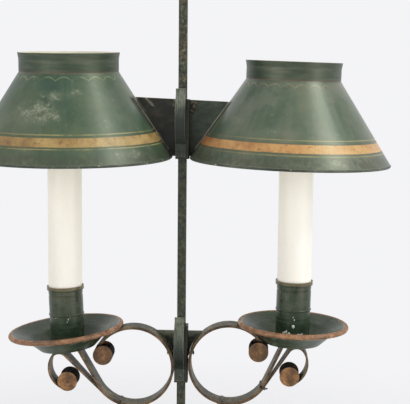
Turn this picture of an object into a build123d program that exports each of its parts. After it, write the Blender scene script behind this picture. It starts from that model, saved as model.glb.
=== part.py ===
from build123d import *
import math
import os

# Two-light table lamp in painted sheet iron: a square rod on a dished foot carries two sliders.
# The upper slider holds a pair of cone shades, the lower one a pair of scroll arms with candle lights.
# Sizes are millimetres, angles are degrees. X runs along the arms, the front faces -Y, Z is up.

# Rod and the fit of the sliders on it
rod_side = 6.2
rod_edge = 0.6
rod_top = 474.0
slide_clearance = 0.3
sleeve_wall = 1.6
seat_gap = 0.15
shank_clearance = 0.1

# Leaf springs that hold the sliders by friction
spring_width = 7.2
spring_thickness = 0.8
spring_foot = 8.0
spring_bend = 3.0
spring_bow = 8.5
spring_tip_turn = 40.0
spring_rise = 1.5
spring_gap = 0.3
spring_inset = 0.2
spring_rivet_radius = 1.0
spring_rivet_head = 1.7
rivet_dome = 0.9

# Foot of the lamp
felt_thickness = 2.0
felt_radius = 57.0
weight_radius = 60.0
weight_thickness = 11.0
weight_edge = 1.5
dish_floor_radius = 66.0
dish_rim_radius = 78.0
dish_depth = 17.0
dish_sheet = 1.2
dish_rim_wire = 1.8
socket_foot_radius = 27.0
socket_neck_radius = 6.6
socket_height = 32.0
socket_collar = 6.0
socket_hollow = 6.5
rod_tail_radius = 3.0
rod_tail_shoulder = 9.0
nut_flats = 10.0
nut_thickness = 5.0
washer_radius = 8.0
washer_thickness = 1.2
nut_pocket_radius = 9.5
nut_pocket_floor = 4.5

# Carrying ring on top of the rod
ring_grip_radius = 15.0
ring_grip_wire = 2.4
ring_boss_radius = 6.2
ring_boss_height = 12.0
ring_boss_depth = 8.0

# Upper slider and shades
shade_rim_height = 300.0
shade_sleeve_height = 43.0
shade_spring_span = 38.0
shade_sheet = 0.8
shade_rim_radius = {"left": 74.6, "right": 72.2}
shade_neck_radius = {"left": 36.2, "right": 34.2}
shade_cone_height = {"left": 60.5, "right": 57.9}
shade_collar_height = {"left": 14.0, "right": 13.4}
shade_collar_flare = 0.8
shade_rim_wire = 1.0
shade_rim_flat = 0.9
shade_rim_clearance = 0.4
shade_shift = {"left": 2.0, "right": 0.0}
shade_tilt = {"left": 0.2, "right": 1.6}
shade_lean_back = {"left": -0.6, "right": 0.7}
web_sheet = 0.8
web_top = 42.7
web_bottom = 6.0
web_slope = 2.4
web_flange_top = 15.0
web_flange_bottom = 2.5

# Lower slider
arm_height = 148.8
arm_sleeve_below = 15.8
arm_sleeve_height = 43.0
arm_spring_span = 36.5
arm_web_sheet = 1.0
arm_web_rise = 21.5
arm_web_height = 19.0
arm_droop = {"left": 6.5, "right": 2.0}
arm_rivet_above = 6.0
arm_rivet_radius = 1.0
arm_rivet_head = 2.0

# Ring of each arm: one strip on edge, rolled at one end, turned flat under the pan at the other
strip_thickness = 2.0
strip_depth = 14.0
ring_inner_radius = 28.4
ring_roll_x = 57.1
ring_roll_z = 11.0
ring_tail_heading = 67.0
ring_tail_bend = 3.0
ring_tab_reach = 9.0
roll_wrap = 6.3
roll_turn = 265.0
roll_flange_radius = 7.3
roll_flange = 0.8

# Outer scroll of each arm, bound to the ring by a wire tie
scroll_thickness = 1.5
scroll_start = -104.0
scroll_narrow = 6.0
scroll_taper_start = 64.0
scroll_taper_end = 84.0
scroll_peak_x = {"left": 90.3, "right": 85.4}
scroll_peak_radius = 6.6
scroll_peak_leave = 33.0
scroll_shoulder_radius = 16.7
scroll_shoulder_leave = -68.0
scroll_roll_turn = 225.0
tie_wire = 0.9
tie_clearance = 0.2
tie_angle = {"left": -64.0, "right": -32.0}

# Drip pan and candle cup, turned about the light's axis
light_x = {"left": 83.2, "right": 81.6}
pan_floor_radius = 20.8
pan_bowl_radius = 29.3
pan_bowl_depth = 8.0
pan_bend = 12.0
pan_rim_radius = {"left": 40.3, "right": 38.2}
pan_depth = 14.2
pan_sheet = 0.8
pan_rim_wire = 1.9
pan_rim_outset = 0.8
pan_rim_proud = 0.2
cup_lean = {"left": 2.2, "right": 1.0}
cup_height = 46.0
cup_radius = 12.65
cup_sheet = 0.8
cup_lip_wall = 0.7
cup_lip_tall = 3.4
cup_lip_seat = 2.0
cup_foot_flare = 2.2
cup_foot_trim = 2.0
cup_groove = 0.5
cup_groove_below = 6.5
cup_bead_below = 21.0
cup_bead = 0.5
cup_floor_below = 6.0

# Candle light that stands upright in the cup
sleeve_radius = 12.5
sleeve_sheet = 0.8
sleeve_length = 100.0
sleeve_clearance = 0.5
nipple_radius = 5.0
nipple_bore = 4.0
nipple_hole_clearance = 0.8
nipple_below_nut = 2.0
nipple_nut_flats = 14.0
nipple_nut_thickness = 4.0
holder_clearance = 0.5
holder_length = 40.0
holder_below_top = 3.0
holder_nipple_depth = 9.0
holder_cavity_depth = 25.0
holder_shoulder = 2.5
cap_radius = 6.9
cap_clearance = 0.3
cap_length = 24.0
cap_button = 2.2
cap_stand = 1.5
bulb_radius = 21.0
bulb_neck_radius = 8.0
bulb_neck_length = 8.0
bulb_wall = 0.8

sides = ("left", "right")
rod_half = rod_side / 2
sleeve_inner = rod_half + slide_clearance
sleeve_half = sleeve_inner + sleeve_wall
spring_x = spring_inset + spring_width / 2 - sleeve_half
weight_top = felt_thickness + weight_thickness
dish_floor_top = weight_top + dish_sheet
socket_top = dish_floor_top + socket_height
arm_sleeve_bottom = arm_height - arm_sleeve_below


def turned(*outline):
    """Solid of revolution about Z from an outline of (radius, height) points."""
    face = make_face(Plane.XZ * Polyline(*outline, close=True))
    return revolve(face, Axis.Z)


def turned_bead(radius, height, wire, flat):
    """Round wire bent to a ring about Z, filed flat on top at `flat` above its centre."""
    section = Plane.XZ * Pos(radius, height) * Circle(wire)
    bead = revolve(section, Axis.Z)
    waste = Pos(0, 0, height + flat) * Cylinder(
        radius + 2 * wire, 2 * wire, align=(Align.CENTER, Align.CENTER, Align.MIN)
    )
    return bead - waste


def upright_box(x_min, x_max, y_min, y_max, z_min, z_max):
    """Box given by its limits."""
    block = Box(x_max - x_min, y_max - y_min, z_max - z_min, align=(Align.MIN, Align.MIN, Align.MIN))
    return Pos(x_min, y_min, z_min) * block


def polar(centre, radius, angle):
    """Point at a radius and angle from a centre, in the plane of the strip."""
    turn = math.radians(angle)
    return (centre[0] + radius * math.cos(turn), centre[1] + radius * math.sin(turn))


def bent_strip(start, heading, runs, thickness):
    """Edge-on outline of a strip bent on a jig, from (radius, turn) bends and (0, length) straights.

    A turn is positive to the left of the way the strip runs. The outline is a face in the XY plane.
    """
    point = start
    angle = heading
    edges = []
    ends = [(polar(start, thickness / 2, angle + 90), polar(start, thickness / 2, angle - 90))]
    for radius, amount in runs:
        if radius == 0:
            finish = polar(point, amount, angle)
            for hand in (90, -90):
                side_start = polar(point, thickness / 2, angle + hand)
                side_end = polar(finish, thickness / 2, angle + hand)
                edges.append(Line(side_start, side_end))
            point = finish
        else:
            hand = math.copysign(1, amount)
            centre = polar(point, radius, angle + 90 * hand)
            first = angle - 90 * hand
            for side_radius in (radius - thickness / 2, radius + thickness / 2):
                bend = [polar(centre, side_radius, first + amount * share) for share in (0, 0.5, 1)]
                edges.append(ThreePointArc(*bend))
            point = polar(centre, radius, first + amount)
            angle = angle + amount
    ends.append((polar(point, thickness / 2, angle + 90), polar(point, thickness / 2, angle - 90)))
    for end in ends:
        edges.append(Line(*end))
    return make_face(edges)


def strip_on_edge(outline, depth):
    """Strip of the given depth, centred on the plane of the arm."""
    return extrude(Plane.XZ * outline, depth / 2, both=True)


def hexagon_nut(flats, thickness, bore):
    """Nut standing on Z = 0."""
    blank = extrude(RegularPolygon(flats / 2, 6, major_radius=False), thickness)
    return blank - Cylinder(bore, 3 * thickness)


def rivet(shank_radius, shank_length, head_radius):
    """Domed rivet along -Z: the head's flat underside is at Z = 0."""
    dome_radius = (head_radius**2 + rivet_dome**2) / (2 * rivet_dome)
    ball = Pos(0, 0, rivet_dome - dome_radius) * Sphere(dome_radius)
    head = ball & Cylinder(head_radius, rivet_dome, align=(Align.CENTER, Align.CENTER, Align.MIN))
    shank = Cylinder(shank_radius, shank_length, align=(Align.CENTER, Align.CENTER, Align.MAX))
    return head + shank


# Sliders: square sleeve, leaf spring and its rivet


def slider_sleeve(bottom, height):
    """Square sleeve that runs on the rod, with the hole for the spring's rivet in its front wall."""
    outer = upright_box(-sleeve_half, sleeve_half, -sleeve_half, sleeve_half, bottom, bottom + height)
    inner = Pos(0, 0, bottom + height / 2) * Box(2 * sleeve_inner, 2 * sleeve_inner, 2 * height)
    hole = Pos(spring_x, -sleeve_half, spring_rivet_height(bottom)) * Rot(90, 0, 0) * Cylinder(
        spring_rivet_radius + shank_clearance, 2 * sleeve_wall
    )
    sleeve = fillet(outer.edges().filter_by(Axis.Z), sleeve_wall / 2)
    return sleeve - inner - hole


def spring_rivet_height(bottom):
    """Height of the rivet through the foot of a slider's spring."""
    return bottom + spring_rise + spring_foot / 2


def leaf_spring(bottom, span):
    """Bowed leaf, set over to the left: riveted to the sleeve at its foot, its top bears on the rod."""
    front = sleeve_half + spring_thickness / 2
    bearing = rod_half + spring_gap + spring_thickness / 2
    drop = front - bearing
    reach = (span**2 / 4 + spring_bow**2) / (2 * spring_bow)
    lower_turn = math.degrees(math.acos(1 - spring_bow / reach))
    upper_turn = math.degrees(math.acos(1 - (spring_bow + drop) / reach))
    runs = [
        (0, spring_foot),
        (spring_bend, -lower_turn),
        (reach - spring_bend, lower_turn + upper_turn),
        (spring_bend, -upper_turn - spring_tip_turn),
    ]
    outline = bent_strip((front, bottom + spring_rise), 90, runs, spring_thickness)
    side_plane = Plane(origin=(0, 0, 0), x_dir=(0, -1, 0), z_dir=(-1, 0, 0))
    leaf = extrude(side_plane * outline, spring_width / 2, both=True)
    hole = Pos(0, -front, spring_rivet_height(bottom)) * Rot(90, 0, 0) * Cylinder(
        spring_rivet_radius + shank_clearance, 3 * spring_thickness
    )
    return Pos(spring_x, 0, 0) * (leaf - hole)


def spring_rivet(bottom):
    """Rivet through the spring's foot into the front wall of the sleeve."""
    shank = spring_thickness + sleeve_wall
    face = -sleeve_half - spring_thickness
    piece = rivet(spring_rivet_radius, shank, spring_rivet_head)
    return Pos(spring_x, face, spring_rivet_height(bottom)) * Rot(90, 0, 0) * piece


# Foot of the lamp


def felt_pad():
    """Felt disc glued under the weight, over the nut pocket."""
    return Cylinder(felt_radius, felt_thickness, align=(Align.CENTER, Align.CENTER, Align.MIN))


def base_weight():
    """Iron disc that steadies the lamp, with a pocket for the nut under it."""
    disc = Pos(0, 0, felt_thickness) * Cylinder(
        weight_radius, weight_thickness, align=(Align.CENTER, Align.CENTER, Align.MIN)
    )
    disc = chamfer(disc.edges().filter_by(GeomType.CIRCLE), weight_edge)
    pocket = Cylinder(
        nut_pocket_radius, weight_top - nut_pocket_floor, align=(Align.CENTER, Align.CENTER, Align.MIN)
    )
    bore = Cylinder(rod_tail_radius + shank_clearance, 3 * weight_top)
    return disc - pocket - bore


def base_dish():
    """Dished sheet foot with a raised rim."""
    rim_top = weight_top + dish_depth
    dish = turned(
        (rod_tail_radius + shank_clearance, weight_top),
        (dish_floor_radius, weight_top),
        (dish_rim_radius, rim_top),
        (dish_rim_radius - dish_sheet, rim_top),
        (dish_floor_radius - dish_sheet, dish_floor_top),
        (rod_tail_radius + shank_clearance, dish_floor_top),
    )
    return dish


def base_rim():
    """Gilt wire edge on the rim of the dish."""
    flat = -dish_rim_wire / 2
    centre = weight_top + dish_depth - flat
    ring = revolve(Plane.XZ * Pos(dish_rim_radius - dish_sheet / 2, centre) * Circle(dish_rim_wire), Axis.Z)
    waste = Pos(0, 0, centre + flat) * Cylinder(
        2 * dish_rim_radius, 2 * dish_rim_wire, align=(Align.CENTER, Align.CENTER, Align.MAX)
    )
    return ring - waste


def stem_socket():
    """Spun foot that holds the rod: a hollow curve from the dish up to a plain collar."""
    neck = socket_top - socket_collar
    flank = SagittaArc(
        (socket_foot_radius, dish_floor_top + dish_sheet), (socket_neck_radius, neck), socket_hollow
    )
    outline = flank + Polyline(
        (socket_neck_radius, neck),
        (socket_neck_radius, socket_top),
        (0, socket_top),
        (0, dish_floor_top),
        (socket_foot_radius, dish_floor_top),
        (socket_foot_radius, dish_floor_top + dish_sheet),
    )
    body = revolve(make_face(Plane.XZ * outline), Axis.Z)
    square_room = rod_side + 2 * shank_clearance
    square = Pos(0, 0, dish_floor_top + rod_tail_shoulder) * Box(
        square_room, square_room, 2 * socket_height, align=(Align.CENTER, Align.CENTER, Align.MIN)
    )
    bore = Cylinder(rod_tail_radius + shank_clearance, 3 * socket_top)
    return body - square - bore


def stem_rod():
    """Square rod with a round tail that passes down through the foot."""
    shoulder = dish_floor_top + rod_tail_shoulder
    rod = upright_box(-rod_half, rod_half, -rod_half, rod_half, shoulder, rod_top)
    rod = chamfer(rod.edges().filter_by(Axis.Z), rod_edge)
    tail_bottom = weight_top - nut_pocket_floor - washer_thickness - nut_thickness
    tail = Pos(0, 0, tail_bottom) * Cylinder(
        rod_tail_radius, shoulder - tail_bottom, align=(Align.CENTER, Align.CENTER, Align.MIN)
    )
    return rod + tail


def stem_washer():
    """Washer against the roof of the nut pocket."""
    top = weight_top - nut_pocket_floor
    disc = Pos(0, 0, top) * Cylinder(
        washer_radius, washer_thickness, align=(Align.CENTER, Align.CENTER, Align.MAX)
    )
    return disc - Cylinder(rod_tail_radius + shank_clearance, 3 * weight_top)


def stem_nut():
    """Nut on the rod's tail."""
    top = weight_top - nut_pocket_floor - washer_thickness
    return Pos(0, 0, top - nut_thickness) * hexagon_nut(
        nut_flats, nut_thickness, rod_tail_radius + shank_clearance
    )


def top_ring():
    """Carrying ring brazed on a boss that caps the rod."""
    boss_bottom = rod_top - ring_boss_depth
    boss_top = boss_bottom + ring_boss_height
    boss = Pos(0, 0, boss_bottom) * Cylinder(
        ring_boss_radius, ring_boss_height, align=(Align.CENTER, Align.CENTER, Align.MIN)
    )
    boss = fillet(boss.edges().filter_by(GeomType.CIRCLE), ring_boss_radius / 5)
    square_room = rod_side + 2 * shank_clearance
    square = Pos(0, 0, rod_top) * Box(
        square_room, square_room, 2 * ring_boss_depth, align=(Align.CENTER, Align.CENTER, Align.MAX)
    )
    ring = Pos(0, 0, boss_top + ring_grip_radius) * Rot(90, 0, 0) * Torus(ring_grip_radius, ring_grip_wire)
    return boss - square + ring


# Upper slider: shades and the web that joins them

cone_bottom = shade_rim_wire + shade_rim_flat


def cone_top(side):
    """Height of a cone's upper edge over the shade's rim."""
    return cone_bottom + shade_cone_height[side]


def shade_wire_radius(side):
    """Radius of the rim's wire, under the middle of the sheet."""
    return shade_rim_radius[side] - shade_sheet / 2


def shade_axis_x(side):
    """Distance of a shade's axis from the rod: the rim comes up to the side of the sleeve."""
    return sleeve_half + shade_rim_clearance + shade_wire_radius(side) + shade_rim_wire


def placed_shade(shape, side):
    """Puts a shade piece on its side, shifted, tilted and leaning back, or forward where that is below 0."""
    hand = 1 if side == "right" else -1
    sided = shape if side == "right" else mirror(shape, Plane.YZ)
    place = Pos(hand * shade_shift[side], 0, shade_rim_height)
    return place * Rot(-shade_lean_back[side], hand * shade_tilt[side], 0) * sided


def cone_solid(extra, overrun, side):
    """Cone of a shade, grown by `extra` and run past both ends by `overrun`, before it is placed."""
    narrowing = shade_rim_radius[side] - shade_neck_radius[side]
    low = cone_bottom - overrun
    high = cone_top(side) + overrun
    outline = [(0, low)]
    for height in (low, high):
        share = (height - cone_bottom) / shade_cone_height[side]
        outline.append((shade_rim_radius[side] - narrowing * share + extra, height))
    outline.append((0, high))
    return Pos(shade_axis_x(side), 0, 0) * turned(*outline)


def shade_cone(side):
    """Cone of sheet iron, open at both ends."""
    return placed_shade(cone_solid(0, 0, side) - cone_solid(-shade_sheet, 1, side), side)


def shade_collar(side):
    """Upright collar on the neck of the cone, flared a little at its top."""
    outer = shade_neck_radius[side]
    inner = outer - shade_sheet
    foot = cone_top(side)
    top = foot + shade_collar_height[side]
    flare_start = top - shade_collar_height[side] / 3
    collar = turned(
        (inner, foot),
        (outer, foot),
        (outer, flare_start),
        (outer + shade_collar_flare, top),
        (inner + shade_collar_flare, top),
        (inner, flare_start),
    )
    return placed_shade(Pos(shade_axis_x(side), 0, 0) * collar, side)


def shade_rim(side):
    """Wire that the lower edge of the cone is rolled round."""
    wire = turned_bead(shade_wire_radius(side), shade_rim_wire, shade_rim_wire, shade_rim_flat)
    return placed_shade(Pos(shade_axis_x(side), 0, 0) * wire, side)


def shade_web():
    """Plate behind the sleeve that joins the shades, with a tapered flange soldered to each cone."""
    front = sleeve_half
    back = sleeve_half + web_sheet
    low = shade_rim_height + web_bottom
    high = shade_rim_height + web_top
    reach = max(shade_axis_x(side) for side in sides)
    fall = reach * math.tan(math.radians(web_slope))
    outline = Polyline((-reach, low), (reach, low), (reach, high - fall), (-reach, high + fall), close=True)
    blank = extrude(Plane.XZ * make_face(outline), -2 * reach, both=True)
    sheet = blank & upright_box(-reach, reach, front, back, low, high + fall)
    flange_side = Polyline(
        (back, low),
        (back, high + fall),
        (back - web_flange_top, high + fall),
        (back - web_flange_bottom, low),
        close=True,
    )
    flange_room = extrude(Plane.YZ * make_face(flange_side), reach, both=True)
    for side in sides:
        inner_cone = placed_shade(cone_solid(seat_gap, 1, side), side)
        outer_cone = placed_shade(cone_solid(seat_gap + web_sheet, 1, side), side)
        sheet = sheet - inner_cone
        sheet = sheet + ((outer_cone - inner_cone) & blank & flange_room)
    return sheet


# Lower slider: arms, pans and cups. Right-hand pieces are drawn about the ring's height, then placed

ring_outer_radius = ring_inner_radius + strip_thickness
ring_mid_radius = ring_inner_radius + strip_thickness / 2
steepest_droop = math.radians(max(arm_droop.values()))
ring_x = (sleeve_half + seat_gap + ring_outer_radius) / math.cos(steepest_droop)
ring_middle = (ring_x, 0)

# The pan's floor stands on the ring's flat tab, just high enough for its bowl and brim to clear the ring


def pan_rest(radius, height, run, rise, side):
    """Underside of the pan when a sloping band of it, from a radius and height out, lies on the ring."""
    slant = math.hypot(run, rise)
    across = light_x[side] - radius - ring_x
    return ((ring_outer_radius + seat_gap) * slant - across * rise) / run - height


rests = []
for side in sides:
    brim_run = pan_rim_radius[side] - pan_bowl_radius
    rests.append(pan_rest(pan_floor_radius, 0, pan_bowl_radius - pan_floor_radius, pan_bowl_depth, side))
    rests.append(pan_rest(pan_bowl_radius, pan_bowl_depth, brim_run, pan_depth - pan_bowl_depth, side))
pan_underside = max(rests)
tab_height = pan_underside - strip_thickness / 2
scroll_peak_z = pan_underside - strip_thickness - seat_gap - scroll_thickness / 2 - scroll_peak_radius


def placed_arm(shape, side):
    """Puts a right-hand arm piece on its side, drooping about the slider's axis as the old arm does."""
    hand = 1 if side == "right" else -1
    sided = shape if side == "right" else mirror(shape, Plane.YZ)
    return Pos(0, 0, arm_height) * Rot(0, hand * arm_droop[side], 0) * sided


def arm_point(x, z, side):
    """Where a point of the right-hand arm lies once the arm is placed, as (x, z)."""
    hand = 1 if side == "right" else -1
    droop = math.radians(arm_droop[side])
    across = x * math.cos(droop) + z * math.sin(droop)
    up = z * math.cos(droop) - x * math.sin(droop)
    return (hand * across, arm_height + up)


def ring_outline(side):
    """Path of the ring strip: roll, over the ring, up to the pan and flat under it."""
    roll = (ring_roll_x, ring_roll_z)
    apart = math.hypot(ring_roll_x - ring_x, ring_roll_z)
    bearing = math.degrees(math.atan2(ring_roll_z, ring_roll_x - ring_x))
    leave = bearing + math.degrees(math.acos((ring_mid_radius - roll_wrap) / apart))
    straight = math.sqrt(apart**2 - (ring_mid_radius - roll_wrap) ** 2)
    tail_angle = ring_tail_heading - 90
    tail = polar(ring_middle, ring_mid_radius, tail_angle)
    rise = tab_height - tail[1]
    bend_reach = ring_tail_bend * math.tan(math.radians(ring_tail_heading / 2))
    tail_length = rise / math.sin(math.radians(ring_tail_heading)) - bend_reach
    corner_x = tail[0] + rise / math.tan(math.radians(ring_tail_heading))
    tab_length = light_x[side] + ring_tab_reach - corner_x - bend_reach
    runs = [
        (roll_wrap, roll_turn),
        (0, straight),
        (ring_mid_radius, 360 + tail_angle - leave),
        (0, tail_length),
        (ring_tail_bend, -ring_tail_heading),
        (0, tab_length),
    ]
    start = polar(roll, roll_wrap, leave - roll_turn)
    return bent_strip(start, leave - roll_turn + 90, runs, strip_thickness)


def arm_ring(side):
    """Ring strip of one arm, with the hole for its rivet and the wire hole under the light."""
    ring = strip_on_edge(ring_outline(side), strip_depth)
    wire_hole = Pos(light_x[side], 0, tab_height) * Cylinder(nipple_bore, 3 * strip_thickness)
    ring = placed_arm(ring - wire_hole, side)
    return ring - arm_rivet_hole()


scroll_circle_radius = ring_outer_radius + seat_gap + scroll_thickness / 2


def scroll_roll(side):
    """Centre of the roll at the end of the outer scroll, in the right-hand arm."""
    peak = (scroll_peak_x[side], scroll_peak_z)
    peak_end = polar(peak, scroll_peak_radius, scroll_peak_leave)
    shoulder = polar(peak_end, -scroll_shoulder_radius, scroll_peak_leave)
    return polar(shoulder, scroll_shoulder_radius - roll_wrap, scroll_shoulder_leave)


def scroll_outline(side):
    """Path of the outer scroll: along the ring, up to a peak under the pan, down round its own roll."""
    apart = math.hypot(scroll_peak_x[side] - ring_x, scroll_peak_z)
    crossing = scroll_circle_radius + scroll_peak_radius
    bearing = math.degrees(math.atan2(scroll_peak_z, scroll_peak_x[side] - ring_x))
    heading = bearing + math.degrees(math.asin(crossing / apart))
    straight = math.sqrt(apart**2 - crossing**2)
    runs = [
        (scroll_circle_radius, heading - 90 - scroll_start),
        (0, straight),
        (scroll_peak_radius, scroll_peak_leave - 90 - heading),
        (scroll_shoulder_radius, scroll_shoulder_leave - scroll_peak_leave),
        (roll_wrap, -scroll_roll_turn),
    ]
    start = polar(ring_middle, scroll_circle_radius, scroll_start)
    return bent_strip(start, scroll_start + 90, runs, scroll_thickness)


def arm_scroll(side):
    """Outer scroll strip, cut to a taper towards the ring."""
    strip = strip_on_edge(scroll_outline(side), strip_depth)
    narrow = scroll_narrow / 2
    wide = strip_depth / 2
    far = scroll_peak_x[side] + scroll_shoulder_radius
    plan = Polyline(
        (0, -narrow),
        (scroll_taper_start, -narrow),
        (scroll_taper_end, -wide),
        (far, -wide),
        (far, wide),
        (scroll_taper_end, wide),
        (scroll_taper_start, narrow),
        (0, narrow),
        close=True,
    )
    taper = extrude(make_face(plan), 2 * ring_outer_radius, both=True)
    return placed_arm(strip & taper, side)


def roll_bobbin(centre, core_radius, side):
    """Turned bobbin that a strip's end is rolled on, with a disc at each end."""
    half = strip_depth / 2 + seat_gap
    end = half + roll_flange
    bobbin = turned(
        (0, -end),
        (roll_flange_radius, -end),
        (roll_flange_radius, -half),
        (core_radius, -half),
        (core_radius, half),
        (roll_flange_radius, half),
        (roll_flange_radius, end),
        (0, end),
    )
    return placed_arm(Pos(centre[0], 0, centre[1]) * Rot(90, 0, 0) * bobbin, side)


def arm_tie(side):
    """Wire bound round the ring and the outer scroll where they part."""
    inner_side = ring_inner_radius - tie_clearance
    outer_side = scroll_circle_radius + scroll_thickness / 2 + tie_clearance
    half_depth = strip_depth / 2 + tie_clearance
    middle = (inner_side + outer_side) / 2
    tall = outer_side - inner_side
    frame = Box(tall + 2 * tie_wire, 2 * half_depth + 2 * tie_wire, tie_wire)
    frame = fillet(frame.edges().filter_by(Axis.Z), tie_wire / 2)
    window = Box(tall, 2 * half_depth, 3 * tie_wire)
    loop = Rot(0, -tie_angle[side], 0) * Pos(middle, 0, 0) * (frame - window)
    return placed_arm(Pos(ring_x, 0, 0) * loop, side)


def arm_rivet_hole():
    """Hole right across the sleeve's sides and the rings for the arm rivets."""
    across = Cylinder(arm_rivet_radius + shank_clearance, 2 * ring_x)
    return Pos(0, 0, arm_height + arm_rivet_above) * Rot(0, 90, 0) * across


def arm_rivet(side):
    """Rivet that holds one ring to the side of the sleeve."""
    centre = arm_point(ring_x, 0, side)
    highest = arm_height + arm_rivet_above + arm_rivet_head - centre[1]
    seat = abs(centre[0]) - math.sqrt(ring_inner_radius**2 - highest**2)
    piece = rivet(arm_rivet_radius, seat - sleeve_inner, arm_rivet_head)
    hand = 1 if side == "right" else -1
    return Pos(hand * seat, 0, arm_height + arm_rivet_above) * Rot(0, hand * 90, 0) * piece


def arm_sleeve():
    """Lower slider's sleeve, drilled through for the arm rivets but not through the rod's room."""
    return slider_sleeve(arm_sleeve_bottom, arm_sleeve_height) - arm_rivet_hole()


def arm_web():
    """Plate behind the sleeve, cut to the curve of both rings."""
    top = arm_height + arm_web_rise
    plate = upright_box(
        -ring_x, ring_x, sleeve_half, sleeve_half + arm_web_sheet, top - arm_web_height, top
    )
    for side in sides:
        x, z = arm_point(ring_x, 0, side)
        disc = Pos(x, 0, z) * Rot(90, 0, 0) * Cylinder(ring_outer_radius + seat_gap, 4 * strip_depth)
        plate = plate - disc
    return plate.solids().sort_by(lambda piece: abs(piece.center().X))[0]


def drip_pan(side):
    """Sheet pan with a bowl bent smoothly into a broad brim, standing on the ring's tab."""
    top = pan_underside + pan_depth
    bowl_top = pan_underside + pan_bowl_depth
    bends = ((pan_bowl_radius, bowl_top), (pan_bowl_radius - pan_sheet / 2, bowl_top + pan_sheet))
    outline = Polyline(
        (nipple_bore, pan_underside),
        (pan_floor_radius, pan_underside),
        bends[0],
        (pan_rim_radius[side], top),
        (pan_rim_radius[side], top + pan_sheet),
        bends[1],
        (pan_floor_radius - pan_sheet / 2, pan_underside + pan_sheet),
        (nipple_bore, pan_underside + pan_sheet),
        close=True,
    )
    face = make_face(outline)
    for bend in bends:
        corner = face.vertices().sort_by_distance((bend[0], bend[1], 0))[0]
        face = fillet(corner, pan_bend)
    pan = revolve(Plane.XZ * face, Axis.Z)
    return placed_arm(Pos(light_x[side], 0, 0) * pan, side)


def pan_rim(side):
    """Gilt edge rolled down outside the brim, let in where the ring passes under it."""
    centre = pan_underside + pan_depth + pan_sheet + pan_rim_proud - pan_rim_wire
    section = Plane.XZ * Pos(pan_rim_radius[side] + pan_rim_outset, centre) * Circle(pan_rim_wire)
    inside = Cylinder(pan_rim_radius[side], 4 * (pan_underside + pan_depth))
    ring_room = Pos(ring_x - light_x[side], 0, 0) * Rot(90, 0, 0) * Cylinder(
        ring_outer_radius + seat_gap, strip_depth + 2 * seat_gap
    )
    bead = revolve(section, Axis.Z) - inside - ring_room
    return placed_arm(Pos(light_x[side], 0, 0) * bead, side)


cup_lip_inner = sleeve_radius + sleeve_clearance
cup_lip_outer = cup_lip_inner + cup_lip_wall


def cup_point(x, z, side):
    """Where a point of the right-hand cup, drawn about the middle of its foot, lies once placed."""
    hand = 1 if side == "right" else -1
    lean = math.radians(cup_lean[side])
    foot_x, foot_z = arm_point(light_x[side], pan_underside + pan_sheet, side)
    across = x * math.cos(lean) + z * math.sin(lean)
    return (foot_x + hand * across, foot_z + z * math.cos(lean) - x * math.sin(lean))


def candle_cup(side):
    """Candle cup: foot trimmed to the pan's floor, body with a bead and a groove, lip for the sleeve."""
    lip = cup_height
    inner = cup_radius - cup_sheet
    groove = lip - cup_groove_below
    bead = lip - cup_bead_below
    floor = lip - cup_floor_below
    hole = nipple_radius + nipple_hole_clearance
    cup = turned(
        (inner, -cup_foot_trim),
        (cup_radius + cup_foot_flare, -cup_foot_trim),
        (cup_radius + cup_foot_flare, cup_sheet),
        (cup_radius, cup_sheet + cup_foot_flare),
        (cup_radius, bead - 2 * cup_bead),
        (cup_radius + cup_bead, bead - cup_bead),
        (cup_radius + cup_bead, bead),
        (cup_radius, bead + cup_bead),
        (cup_radius, groove - 2 * cup_groove),
        (cup_radius - cup_groove, groove - cup_groove),
        (cup_radius - cup_groove, groove),
        (cup_radius, groove + cup_groove),
        (cup_radius, lip - cup_lip_tall),
        (cup_lip_outer, lip - cup_lip_tall + cup_lip_wall),
        (cup_lip_outer, lip),
        (cup_lip_inner, lip),
        (cup_lip_inner, lip - cup_lip_seat),
        (inner, lip - cup_lip_seat),
        (inner, floor),
        (hole, floor),
        (hole, floor - cup_sheet),
        (inner, floor - cup_sheet),
    )
    hand = 1 if side == "right" else -1
    foot_x, foot_z = cup_point(0, 0, side)
    placed_cup = Pos(foot_x, 0, foot_z) * Rot(0, hand * cup_lean[side], 0) * cup
    under_floor = Pos(light_x[side], 0, pan_underside + pan_sheet) * Cylinder(
        2 * cup_radius, 2 * cup_radius, align=(Align.CENTER, Align.CENTER, Align.MAX)
    )
    return placed_cup - placed_arm(under_floor, side)


# Candle lights: they stand plumb on the leaning cups


def light_foot(side):
    """Foot of the upright candle sleeve, as (x, z): it stands on the higher side of the cup's seat."""
    x, z = cup_point(0, cup_height - cup_lip_seat, side)
    lean = math.radians(cup_lean[side])
    middle = math.copysign(cup_lip_seat * math.sin(lean), x) / 2
    return (x + middle, z + sleeve_radius * math.sin(lean) + seat_gap)


def placed_light(shape, side):
    """Puts a piece drawn about the candle sleeve's foot on its side."""
    x, z = light_foot(side)
    return Pos(x, 0, z) * shape


holder_radius = sleeve_radius - sleeve_sheet - holder_clearance
holder_top = sleeve_length - holder_below_top
holder_bottom = holder_top - holder_length
cap_bottom = holder_top - holder_cavity_depth + cap_stand
cap_top = cap_bottom + cap_length


def candle_sleeve(side):
    """Ivory candle tube."""
    tube = Cylinder(sleeve_radius, sleeve_length, align=(Align.CENTER, Align.CENTER, Align.MIN))
    bore = Cylinder(sleeve_radius - sleeve_sheet, 3 * sleeve_length)
    rounded = fillet(tube.edges().group_by(Axis.Z)[-1], sleeve_sheet / 2)
    return placed_light(rounded - bore, side)


def nut_level(side):
    """Top of the nut under the cup's floor, measured from the candle sleeve's foot."""
    floor_x, floor_z = cup_point(0, cup_height - cup_floor_below - cup_sheet, side)
    lean = math.radians(cup_lean[side])
    slope_room = nipple_nut_flats / math.sqrt(3) * math.sin(lean)
    return floor_z - light_foot(side)[1] - slope_room - seat_gap


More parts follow.
